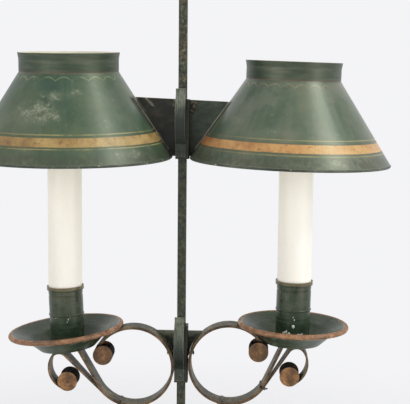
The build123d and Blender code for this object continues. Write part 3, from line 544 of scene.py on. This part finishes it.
def pan_paint(side):
    """Slate green pan and cup, with brass at the cup's lip and gilding at the brim's edge."""
    hand = hands[side]
    look = Look(f"pan_paint_{side}")
    x, y, z = look.split(look.local((0, 0, arm_height), hand * arm_droop[side]))
    across = look.minus(x, hand * light_x[side])
    radius = look.length(across, y, 0.0)
    cloud = look.noise(48.0, 5.0, 0.62)
    fine = look.noise(330.0, 4.0, 0.6)
    turned = look.join(look.times(radius, 220.0), look.times(z, 260.0), 0.0)
    rings = look.noise(1.0, 3.0, 0.6, turned)
    colour = look.ramp(cloud, (0.28, (28, 40, 29)), (0.5, (43, 57, 43)), (0.74, (70, 80, 64)))
    smudge = look.noise(85.0, 5.0, 0.65)
    colour = look.tint(colour, (84, 92, 78), smudge, 0.52, 0.7, 0.0, 0.7)
    colour = look.tint(colour, (22, 34, 26), smudge, 0.3, 0.46, 0.7, 0.0)
    colour = look.tint(colour, (80, 84, 72), rings, 0.5, 0.75, 0.0, 0.4)
    colour = look.tint(colour, (116, 118, 104), fine, 0.62, 0.8, 0.0, 0.5)
    colour = look.tint(colour, (26, 36, 30), fine, 0.24, 0.42, 0.5, 0.0)
    tall = look.join(look.times(x, 3.0), look.times(y, 3.0), z)
    smear = look.noise(70.0, 4.0, 0.6, tall)
    upper = look.times(look.step(z, 0.04, 0.058), look.step(smear, 0.4, 0.66, 0.0, 0.5))
    colour = look.mix(upper, colour, (94, 91, 80))
    wobble = look.times(look.minus(cloud, 0.5), 0.002)
    brim = look.step(look.plus(radius, wobble), pan_edge[side] - 0.0009, pan_edge[side] - 0.0001)
    patina = look.noise(120.0, 5.0, 0.65)
    copper = look.ramp(patina, (0.3, (84, 70, 54)), (0.52, (132, 100, 72)), (0.74, (172, 132, 96)))
    colour = look.mix(look.times(brim, 0.8), colour, copper)

    # The cup stands in its own frame, because it leans less than the pan
    foot = on_arm(light_x[side], 0, pan_floor, side)
    cup_z = look.split(look.local(tuple(foot), hand * cup_lean[side]))[2]
    lip_start = cup_height - 0.0022
    lip = look.step(cup_z, lip_start, lip_start + 0.0006)
    rubbed = look.worn_edges(0.0006, fine, 0.35, 0.6, 0.0, 0.6)
    brass = look.most(rubbed, look.times(lip, look.step(cloud, 0.3, 0.5, 0.3, 0.7)))
    look.colour(look.mix(brass, colour, (118, 102, 74)))
    look.metal(look.times(brass, 0.3))
    look.rough(look.step(rings, 0.25, 0.75, 0.22, 0.35))
    look.shine(0.4)
    look.set("Specular Tint", (0.94, 1.0, 0.8, 1))
    look.bump(look.times_plus(rings, 0.3, fine), 0.16, 0.0003)
    return look.material


def rod_paint():
    """Dark rod in green and brown blotches, flecked all over and most of all above the shades."""
    look = Look("rod_paint")
    x, y, z = look.split(look.place)
    blotch = look.noise(70.0, 3.0, 0.5)
    fine = look.noise(300.0, 5.0, 0.65)
    green = look.ramp(fine, (0.34, (26, 32, 23)), (0.5, (42, 49, 37)), (0.66, (73, 79, 60)))
    brown = look.ramp(fine, (0.34, (33, 28, 20)), (0.5, (58, 50, 36)), (0.66, (97, 87, 64)))
    flecks_start, flecks_full = 0.315, 0.35
    above = look.step(z, flecks_start, flecks_full)
    browned = look.times(look.step(blotch, 0.42, 0.58), look.step(above, 0.0, 1.0, 0.3, 0.8))
    colour = look.mix(browned, green, brown)
    flecks = look.noise(340.0, 5.0, 0.75, look.join(look.times(x, 1.5), y, z))
    fleck = look.step(look.times_plus(above, 0.04, flecks), 0.56, 0.66, 0.0, 0.75)
    colour = look.mix(fleck, colour, look.mix(above, (88, 93, 74), (124, 121, 92)))
    colour = look.tint(colour, (28, 30, 23), flecks, 0.3, 0.42, 0.7, 0.0)
    rust = look.step(look.noise(130.0, 5.0, 0.7), 0.6, 0.74, 0.0, 0.5)
    colour = look.mix(rust, colour, (72, 56, 40))
    edge = look.worn_edges(0.0008, fine, 0.4, 0.62, 0.0, 0.5)
    look.colour(look.mix(edge, colour, (104, 98, 76)))
    look.rough(look.step(fine, 0.25, 0.75, 0.42, 0.62))
    look.bump(look.minus(fine, look.times(fleck, 0.6)), 0.5, 0.0004)
    look.shine(0.35)
    return look.material


def ivory_finish():
    """Smooth ivory candle tube, faintly clouded and a little translucent."""
    look = Look("ivory_tube")
    x, y, z = look.split(look.place)
    cloud = look.noise(40.0, 4.0, 0.55, look.join(x, y, look.times(z, 0.35)))
    fine = look.noise(520.0, 2.0, 0.5)
    colour = look.ramp(cloud, (0.3, (246, 238, 224)), (0.55, (250, 244, 232)), (0.75, (252, 248, 240)))
    look.colour(look.tint(colour, (226, 214, 186), fine, 0.62, 0.8, 0.0, 0.25))
    look.rough(look.step(cloud, 0.3, 0.7, 0.34, 0.44))
    look.bump(fine, 0.05, 0.0002)
    look.set("Subsurface Weight", 0.15)
    look.set("Subsurface Scale", 0.002)
    look.set("Subsurface Radius", (1.0, 0.7, 0.45))
    return look.material


def frosted_bulb():
    """Opal bulb glass, almost even in its white."""
    look = Look("opal_glass")
    cloud = look.noise(60.0, 3.0, 0.5)
    look.colour(look.ramp(cloud, (0.3, (226, 226, 220)), (0.7, (240, 240, 236))))
    look.rough(look.step(cloud, 0.3, 0.7, 0.22, 0.34))
    return look.material


def felt_finish():
    """Green felt: matted fibres, worn paler in places."""
    look = Look("felt")
    cloud = look.noise(55.0, 4.0, 0.6)
    fibre = look.noise(1500.0, 4.0, 0.75)
    colour = look.ramp(cloud, (0.3, (46, 66, 50)), (0.7, (62, 84, 64)))
    look.colour(look.tint(colour, (92, 108, 86), fibre, 0.35, 0.7, 0.0, 0.6))
    look.rough(0.95)
    look.bump(fibre, 0.8, 0.0006)
    look.set("Sheen Weight", 0.4)
    look.set("Sheen Roughness", 0.5)
    return look.material


def foot_paint():
    """Green foot, kept like the shades: gilt lines on its flank and round the floor of the dish."""
    look = Look("foot_paint")
    x, y, z = look.split(look.place)
    radius = look.length(x, y, 0.0)
    cloud = look.noise(30.0, 5.0, 0.62)
    fine = look.noise(300.0, 4.0, 0.62)
    colour = look.ramp(cloud, (0.28, (38, 56, 48)), (0.5, (50, 72, 60)), (0.74, (74, 94, 80)))
    colour = look.tint(colour, (104, 112, 96), fine, 0.6, 0.8, 0.0, 0.5)
    colour = look.tint(colour, (32, 44, 38), fine, 0.24, 0.42, 0.5, 0.0)
    tone = look.noise(85.0, 5.0, 0.65)
    gold = look.ramp(tone, (0.28, (140, 98, 60)), (0.5, (180, 136, 78)), (0.72, (204, 168, 104)))

    # Two lines on the flank, one round the floor of the dish and one round the socket
    soft = 0.0002
    broad_line, thin_line = (0.0205, 0.0250), (0.0184, 0.0190)
    floor_line, socket_line = (0.0560, 0.0568), (0.0402, 0.0414)
    flank_start, socket_end = 0.0662, 0.015
    flank = look.step(radius, flank_start, flank_start + 0.0006)
    broad = look.times(look.band(z, *broad_line, soft), flank)
    thin = look.times(look.band(z, *thin_line, soft), flank)
    inner = look.band(radius, *floor_line, soft)
    socket = look.times(look.band(z, *socket_line, soft), look.step(radius, socket_end + 0.005, socket_end))
    gilt = look.most(look.most(broad, thin), look.most(inner, socket))
    gilt = look.times(gilt, look.step(fine, 0.26, 0.44, 0.3, 0.95))
    colour = look.mix(gilt, colour, gold)
    rubbed = look.worn_edges(0.0007, fine, 0.35, 0.62, 0.0, 0.6)
    look.colour(look.mix(rubbed, colour, (128, 112, 86)))
    look.rough(look.step(cloud, 0.25, 0.75, 0.32, 0.46))
    relief = look.plus(look.times(cloud, 0.8), look.times(fine, 0.3))
    look.bump(relief, 0.2, 0.0005)
    return look.material


def moulded_dark():
    """Dark moulded lampholder with a fine grain."""
    look = Look("moulded_dark")
    fine = look.noise(900.0, 3.0, 0.6)
    cloud = look.noise(90.0, 3.0, 0.5)
    colour = look.ramp(cloud, (0.3, (34, 30, 27)), (0.7, (48, 43, 38)))
    look.colour(look.tint(colour, (70, 63, 55), fine, 0.55, 0.8, 0.0, 0.4))
    look.rough(look.step(fine, 0.3, 0.7, 0.4, 0.52))
    look.bump(fine, 0.1, 0.0002)
    return look.material


def wax_finish():
    """Old candle wax, chalky white."""
    look = Look("wax")
    fine = look.noise(700.0, 3.0, 0.6)
    look.colour(look.ramp(fine, (0.3, (172, 177, 158)), (0.7, (216, 218, 204))))
    look.rough(look.step(fine, 0.3, 0.7, 0.45, 0.62))
    look.bump(fine, 0.2, 0.0002)
    return look.material


def solder_finish():
    """Grey solder, gone brown in patches."""
    look = Look("solder")
    cloud = look.noise(260.0, 4.0, 0.65)
    look.colour(look.ramp(cloud, (0.3, (48, 43, 33)), (0.5, (80, 72, 56)), (0.72, (128, 120, 100))))
    look.rough(look.step(cloud, 0.3, 0.7, 0.6, 0.42))
    look.bump(cloud, 0.4, 0.0003)
    return look.material


# Small pieces built in mesh


def mesh_piece(name, points, faces, body, material, smooth=True):
    """Makes an object of points and faces, and rides it on a body."""
    mesh = bpy.data.meshes.new(name)
    mesh.from_pydata([tuple(point) for point in points], [], faces)
    mesh.validate()
    mesh.update()
    mesh.polygons.foreach_set("use_smooth", [smooth] * len(mesh.polygons))
    mesh.materials.append(material)
    piece = bpy.data.objects.new(name, mesh)
    scene.collection.objects.link(piece)
    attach(piece, body)
    return piece


def ring_faces(first, rings, around):
    """Faces between rings of points, which start with the point `first`."""
    faces = []
    for low in range(first, first + (rings - 1) * around, around):
        for step in range(around):
            following = (step + 1) % around
            faces.append((low + step, low + following, low + around + following, low + around + step))
    return faces


def poled_faces(rings, around):
    """Faces of a closed form whose points run from one pole, ring by ring, to the other."""
    faces = ring_faces(1, rings, around)
    last = rings * around + 1
    high = last - around
    for step in range(around):
        following = (step + 1) % around
        faces.append((0, 1 + following, 1 + step))
        faces.append((high + step, high + following, last))
    return faces


def swept_tube(path, radius, around):
    """Points and faces of a closed round tube along a path."""
    points = []
    side = None
    count = len(path)
    for index, centre in enumerate(path):
        ahead = path[min(index + 1, count - 1)] - path[max(index - 1, 0)]
        ahead.normalize()
        if side is None:
            side = ahead.orthogonal().normalized()
        side = (side - ahead * side.dot(ahead)).normalized()
        other = ahead.cross(side)
        for step in range(around):
            turn = 2 * math.pi * step / around
            points.append(centre + (side * math.cos(turn) + other * math.sin(turn)) * radius)
    faces = ring_faces(0, count, around)
    faces.append(tuple(reversed(range(around))))
    faces.append(tuple(range((count - 1) * around, count * around)))
    return points, faces


def blob(centre, size, upright, seed):
    """Points and faces of a lumpy drop lying on a surface whose normal is `upright`."""
    rings, around = 7, 14
    lumpiness, lump_scale = 0.30, 1.7
    turn = Vector(upright).normalized().to_track_quat("Z", "Y")
    points = [Vector((0, 0, -1))]
    for ring in range(1, rings + 1):
        rise = math.pi * ring / (rings + 1)
        lift = -math.cos(rise)
        spread = math.sin(rise)
        for step in range(around):
            angle = 2 * math.pi * step / around
            points.append(Vector((spread * math.cos(angle), spread * math.sin(angle), lift)))
    points.append(Vector((0, 0, 1)))
    placed = []
    for point in points:
        lump = 1 + lumpiness * noise.noise(point * lump_scale + Vector((seed * 3.1, seed * 1.7, seed * 0.9)))
        shaped = Vector((point.x * size[0], point.y * size[1], point.z * size[2])) * lump
        placed.append(Vector(centre) + turn @ shaped)
    return placed, poled_faces(rings, around)


def several(parts):
    """Joins (points, faces) pairs into one."""
    points, faces = [], []
    for more_points, more_faces in parts:
        start = len(points)
        points.extend(more_points)
        faces.extend(tuple(start + index for index in face) for face in more_faces)
    return points, faces


def tipped(x, y, z, side, angles):
    """Point drawn for the right-hand side, set on its own side and tipped about Y."""
    turn = Euler((0, math.radians(hands[side] * angles[side]), 0)).to_matrix()
    return turn @ Vector((hands[side] * x, y, z))


def on_arm(x, y, z, side):
    """Point of an arm, drawn about the ring's height."""
    return tipped(x, y, z, side, arm_droop) + Vector((0, 0, arm_height))


def on_cup(x, y, z, side):
    """Point of a cup, drawn about the middle of its foot."""
    return tipped(x, y, z, side, cup_lean) + on_arm(light_x[side], 0, pan_floor, side)


def felt_disc(material):
    """Felt disc glued under the weight, its cut edge a little uneven."""
    around = 96
    inset = 0.003
    raggedness = 0.004
    under = [(0.35, 0.0), (0.7, 0.0), (0.985, 0.0), (1.0, 0.3)]
    profile = under + [(share, 1.0 - lift) for share, lift in reversed(under)]
    points = [Vector((0, 0, 0))]
    for share, lift in profile:
        for step in range(around):
            turn = 2 * math.pi * step / around
            uneven = 1 + raggedness * noise.noise(Vector((3 * math.cos(turn), 3 * math.sin(turn), lift)))
            reach = felt_radius * (share * (uneven if share > 0.9 else 1.0) - inset)
            points.append(Vector((reach * math.cos(turn), reach * math.sin(turn), lift * felt_thickness)))
    points.append(Vector((0, 0, felt_thickness)))
    faces = poled_faces(len(profile), around)
    piece = mesh_piece("felt_disc", points, faces, "stand", material)
    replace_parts(piece, "felt_pad")


def bound_tie(name, side, angle, material):
    """Wire wound round the ring and the scroll, its ends twisted off on the outside."""
    turn = math.radians(angle)
    out = Vector((math.cos(turn), 0, math.sin(turn)))
    along = Vector((-math.sin(turn), 0, math.cos(turn)))
    deep = Vector((0, 1, 0))
    low, high, half = 0.02805, 0.03240, 0.0074
    corner = 0.0007
    wire_radius, wire_sides = 0.00040, 8
    twist_rise, twist_radius = 0.0003, 0.0004
    twist_lift, twist_inset = 0.0002, 0.0012
    middle = Vector((ring_centre_x, 0, 0)) + out * (low + high) / 2
    loop = []
    for sign_out, sign_deep, first in ((1, 1, 0), (-1, 1, 90), (-1, -1, 180), (1, -1, 270)):
        centre = out * sign_out * ((high - low) / 2 - corner) + deep * sign_deep * (half - corner)
        for step in range(4):
            bend = math.radians(first + 30 * step)
            loop.append(centre + (out * math.cos(bend) + deep * math.sin(bend)) * corner)
    path = []
    turns = 2
    pitch = 0.0010
    for lap in range(turns):
        for index, point in enumerate(loop):
            path.append(middle + point + along * pitch * (lap + index / len(loop) - turns / 2))
    start = middle + out * ((high - low) / 2 + twist_lift) - deep * (half - twist_inset)
    for step in range(5):
        curl = math.radians(90 * step)
        path.append(
            start + out * twist_rise * step + deep * twist_rise * step
            + (along * math.cos(curl) + deep * math.sin(curl)) * twist_radius + along * pitch * turns / 2
        )
    placed = [on_arm(point.x, point.y, point.z, side) for point in path]
    points, faces = swept_tube(placed, wire_radius, wire_sides)
    return mesh_piece(name, points, faces, "arm_carrier", material)


def wax_drops(material):
    """Specks of old wax on the cups and pans: many on the right, few on the left."""
    flatness = 0.4
    # Angle from above with the front at -90, height on a cup or radius on a pan, width, length
    on_cups = {
        "right": (
            (-104, 0.0085, 0.0010, 0.0008), (-110, 0.0078, 0.0008, 0.0006), (-116, 0.0090, 0.0012, 0.0009),
            (-123, 0.0082, 0.0010, 0.0012), (-98, 0.0076, 0.0007, 0.0005), (-73, 0.0078, 0.0008, 0.0006),
            (-66, 0.0074, 0.0010, 0.0007), (-59, 0.0080, 0.0006, 0.0008), (-90, 0.0136, 0.0010, 0.0015),
            (-91, 0.0205, 0.0004, 0.0005), (-87, 0.0186, 0.0004, 0.0006), (-112, 0.0100, 0.0005, 0.0011),
        ),
        "left": (
            (-76, 0.0226, 0.0003, 0.0009), (-70, 0.0240, 0.0003, 0.0005), (-80, 0.0206, 0.0002, 0.0006),
            (-121, 0.0232, 0.0004, 0.0002), (-114, 0.0238, 0.0003, 0.0002),
        ),
    }
    on_pans = {
        "right": (
            (40, 0.0180, 0.0012, 0.0010), (118, 0.0176, 0.0010, 0.0008), (-128, 0.0172, 0.0008, 0.0007),
        ),
        "left": ((-75, 0.0180, 0.0006, 0.0005),),
    }
    for side in sides:
        hand = hands[side]
        parts = []
        for seed, (angle, reach, width, length) in enumerate(on_cups[side] + on_pans[side], start=1):
            turn = math.radians(angle)
            around = Vector((math.cos(turn), math.sin(turn), 0))
            if seed <= len(on_cups[side]):
                spot = on_cup(hand * around.x * cup_radius, around.y * cup_radius, reach, side)
                upright = around
            else:
                spot = on_arm(light_x[side] + hand * around.x * reach, around.y * reach, pan_floor, side)
                upright = Vector((0, 0, 1))
            parts.append(blob(spot, (width, length, min(width, length) * flatness), upright, seed))
        points, faces = several(parts)
        mesh_piece(f"wax_drops_{side}", points, faces, "arm_carrier", material)


def solder_lumps(material):
    """Lumps of solder where the upper sleeve meets the plate behind it."""
    spots = (
        ((-0.0060, 0.0046, 0.3412), (0.0016, 0.0010, 0.0016)),
        ((-0.0068, 0.0047, 0.3385), (0.0012, 0.0007, 0.0018)),
        ((-0.0056, 0.0046, 0.3350), (0.0011, 0.0009, 0.0020)),
        ((0.0060, 0.0046, 0.3405), (0.0017, 0.0011, 0.0016)),
        ((0.0086, 0.0048, 0.3398), (0.0016, 0.0006, 0.0011)),
        ((0.0074, 0.0047, 0.3372), (0.0015, 0.0009, 0.0016)),
        ((0.0094, 0.0048, 0.3358), (0.0011, 0.0006, 0.0015)),
        ((0.0062, 0.0047, 0.3340), (0.0012, 0.0009, 0.0013)),
        ((0.0078, 0.0048, 0.3328), (0.0009, 0.0006, 0.0010)),
    )
    parts = [blob(centre, size, (0, 0, 1), seed) for seed, (centre, size) in enumerate(spots, start=5)]
    points, faces = several(parts)
    mesh_piece("solder_lumps", points, faces, "shade_carrier", material)


def web_tongue(material):
    """Lowest part of the plate between the shades, which narrows down to the gap between their rims."""
    front, back = 0.00500, 0.00568
    high, low = 0.3063, 0.3012
    corner = 0.0006
    outline = (
        (-0.0110, high), (-0.0080, low + corner), (-0.0074, low),
        (0.0060, low), (0.0066, low + corner), (0.0096, high),
    )
    points = [Vector((x, y, z)) for y in (front, back) for x, z in outline]
    count = len(outline)
    faces = [tuple(range(count)), tuple(reversed(range(count, 2 * count)))]
    for index in range(count):
        following = (index + 1) % count
        faces.append((following, index, count + index, count + following))
    mesh_piece("web_tongue", points, faces, "shade_carrier", material, False)


# Finishes go on every node


def give(material, *names):
    """Puts one material on the named nodes."""
    for name in names:
        mesh = nodes[name].data
        mesh.materials.clear()
        mesh.materials.append(material)


def both(*stems):
    """Names of the left and right nodes of each stem."""
    return [f"{stem}_{side}" for stem in stems for side in sides]


dull_steel = plain_metal("dull_steel", (52, 46, 38), (84, 74, 60), (116, 104, 86))
old_brass = plain_metal(
    "old_brass", (120, 88, 44), (172, 136, 74), (204, 170, 104), roughness=0.32, metallic=0.9
)
cast_iron = plain_metal("cast_iron", (40, 39, 37), (62, 60, 57), (84, 80, 75), roughness=0.55, metallic=0.6)
slider_dark = worn_paint("slider_paint", (28, 31, 25), (41, 45, 36), (62, 65, 52), (84, 72, 54), wear=0.5)
edge_dark = worn_paint(
    "edge_paint", (38, 46, 37), (58, 67, 55), (92, 98, 83), (150, 148, 130), wear=0.7, chips=0.62
)
# Each spring is painted dark between these heights as painted shade, and pale above them as painted highlight
upper_spring = spring_paint("upper_spring_paint", painted_shade_low=0.3160, painted_shade_high=0.3300)
lower_spring = spring_paint("lower_spring_paint", painted_shade_low=0.1470, painted_shade_high=0.1600)
web_dark = web_paint()

give(cast_iron, "base_weight")
give(foot_paint(), "base_dish", "stem_socket")
give(tarnished_gilt("rim_gilt", rim_tones, False), "base_rim", *both("pan_rim"))
give(rod_paint(), "stem_rod", "top_ring")
give(dull_steel, "stem_washer", "stem_nut", *both("arm_rivet", "arm_tie"))
give(slider_dark, "shade_sleeve", "arm_sleeve")
give(web_dark, "shade_web")
give(edge_dark, *both("shade_rim"))
give(low_web_paint(), "arm_web")
give(upper_spring, "shade_spring", "shade_spring_rivet")
give(lower_spring, "arm_spring", "arm_spring_rivet")
# The rolls at the top of the rings sit under the pans and get painted shade
give(tarnished_gilt("ring_gilt", roll_tones, True, shadow_share=0.45), *both("ring_roll"))
give(tarnished_gilt("scroll_gilt", roll_tones, True), *both("scroll_roll"))
give(ivory_finish(), *both("candle_sleeve"))
give(old_brass, *both("light_nipple", "nipple_nut", "bulb_cap"))
give(moulded_dark(), *both("lampholder"))
give(frosted_bulb(), *both("bulb_glass"))
for side in sides:
    give(shade_paint(side), f"shade_cone_{side}", f"shade_collar_{side}")
    give(arm_paint(side), f"arm_ring_{side}", f"arm_scroll_{side}")
    give(pan_paint(side), f"drip_pan_{side}", f"candle_cup_{side}")

felt = felt_finish()
give(felt, "felt_pad")
felt_disc(felt)
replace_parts(bound_tie("bound_tie_left", "left", -64, dull_steel), "arm_tie_left")
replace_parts(bound_tie("bound_tie_right", "right", -32, dull_steel), "arm_tie_right")
bound_tie("bound_tie_low", "right", -98, dull_steel)
wax_drops(wax_finish())
solder_lumps(solder_finish())
web_tongue(web_dark)


# Studio: pale floor, soft lights and the camera of the photograph

pale = (0.905, 0.905, 0.925)
open_light = 0.48


def seen_share(tree):
    """1 for rays that show the background: straight to the camera, mirrored or through glass."""
    path = tree.nodes.new("ShaderNodeLightPath")
    share = path.outputs["Is Camera Ray"]
    for name in ("Is Glossy Ray", "Is Transmission Ray"):
        most = tree.nodes.new("ShaderNodeMath")
        most.operation = "MAXIMUM"
        tree.links.new(share, most.inputs[0])
        tree.links.new(path.outputs[name], most.inputs[1])
        share = most.outputs[0]
    return share


world = bpy.data.worlds.new("studio")
scene.world = world
world.use_nodes = True
sky = world.node_tree
surround = sky.nodes["Background"]
surround.inputs["Color"].default_value = (1.0, 1.0, 1.0, 1)
surround.inputs["Strength"].default_value = open_light
shown = sky.nodes.new("ShaderNodeBackground")
shown.inputs["Color"].default_value = (*pale, 1)
choice = sky.nodes.new("ShaderNodeMixShader")
sky.links.new(seen_share(sky), choice.inputs[0])
sky.links.new(surround.outputs[0], choice.inputs[1])
sky.links.new(shown.outputs[0], choice.inputs[2])
sky.links.new(choice.outputs[0], sky.nodes["World Output"].inputs["Surface"])


def studio_floor():
    """Pale floor that keeps the shadow near the lamp and turns into the background further off."""
    look = Look("studio_floor")
    x, y, _ = look.split(look.place)
    grain = look.noise(40.0, 2.0, 0.5)
    look.colour(look.ramp(grain, (0.3, (0.86, 0.86, 0.87)), (0.7, (0.89, 0.89, 0.9)), linear=True))
    look.rough(0.9)
    look.shine(0.1)
    away = look.step(look.length(x, y, 0.0), 0.2, 0.6)
    glow = look.add("ShaderNodeEmission")
    glow.inputs["Color"].default_value = (*pale, 1)
    mixed = look.add("ShaderNodeMixShader")
    look.feed(mixed.inputs[0], look.times(away, seen_share(look.tree)))
    look.feed(mixed.inputs[1], look.shader.outputs[0])
    look.feed(mixed.inputs[2], glow.outputs[0])
    look.feed(look.tree.nodes["Material Output"].inputs["Surface"], mixed.outputs[0])
    reach = 40.0
    mesh = bpy.data.meshes.new("floor")
    corners = [(-reach, -reach, 0), (reach, -reach, 0), (reach, reach, 0), (-reach, reach, 0)]
    mesh.from_pydata(corners, [], [(0, 1, 2, 3)])
    mesh.materials.append(look.material)
    floor = bpy.data.objects.new("floor", mesh)
    scene.collection.objects.link(floor)


def soft_light(name, place, aim, width, height, power):
    """Rectangular soft light that looks at a point."""
    lamp = bpy.data.lights.new(name, "AREA")
    lamp.shape = "RECTANGLE"
    lamp.size = width
    lamp.size_y = height
    lamp.energy = power
    light = bpy.data.objects.new(name, lamp)
    light.location = place
    light.rotation_euler = (Vector(aim) - Vector(place)).to_track_quat("-Z", "Y").to_euler()
    scene.collection.objects.link(light)


studio_floor()
soft_light("key_light", (1.0, -0.30, 1.35), (0, 0, 0.30), width=0.45, height=0.8, power=9.0)
soft_light("fill_light", (-1.2, -1.3, 0.6), (0, 0, 0.24), width=0.9, height=1.1, power=10.0)
soft_light("right_light", (1.4, -0.9, 0.5), (0, 0, 0.24), width=0.7, height=1.1, power=9.0)
soft_light("top_light", (0.0, 0.3, 1.6), (0, 0, 0.2), width=1.2, height=1.2, power=4.0)

focal_pixels = 1200.0
image_width = 410
image_middle = image_width / 2
rod_pixel = 182.0
camera_turn = math.radians(3.5)
camera_pitch = math.radians(7.6)
camera_roll = math.radians(0.5)
camera_depth = 0.880
sight_height = 0.268

lens = bpy.data.cameras.new("photo_camera")
lens.sensor_fit = "HORIZONTAL"
lens.sensor_width = 36.0
lens.lens = focal_pixels / image_width * lens.sensor_width
lens.clip_start = 0.01
camera = bpy.data.objects.new("photo_camera", lens)
heading = camera_turn - math.atan((image_middle - rod_pixel) / focal_pixels)
forward = Vector((
    -math.sin(heading) * math.cos(camera_pitch),
    math.cos(heading) * math.cos(camera_pitch),
    -math.sin(camera_pitch),
))
level = Vector((math.cos(heading), math.sin(heading), 0))
up = level.cross(forward)
right = level * math.cos(camera_roll) + up * math.sin(camera_roll)
above = up * math.cos(camera_roll) - level * math.sin(camera_roll)
ground = camera_depth * math.cos(camera_pitch)
stand_point = Vector((
    ground * math.sin(camera_turn),
    -ground * math.cos(camera_turn),
    sight_height + camera_depth * math.sin(camera_pitch),
))
turned = Matrix((right, above, -forward)).transposed().to_4x4()
camera.matrix_world = Matrix.Translation(stand_point) @ turned
scene.collection.objects.link(camera)
bpy.context.scene.camera = camera
bpy.context.scene.view_settings.view_transform = "Standard"
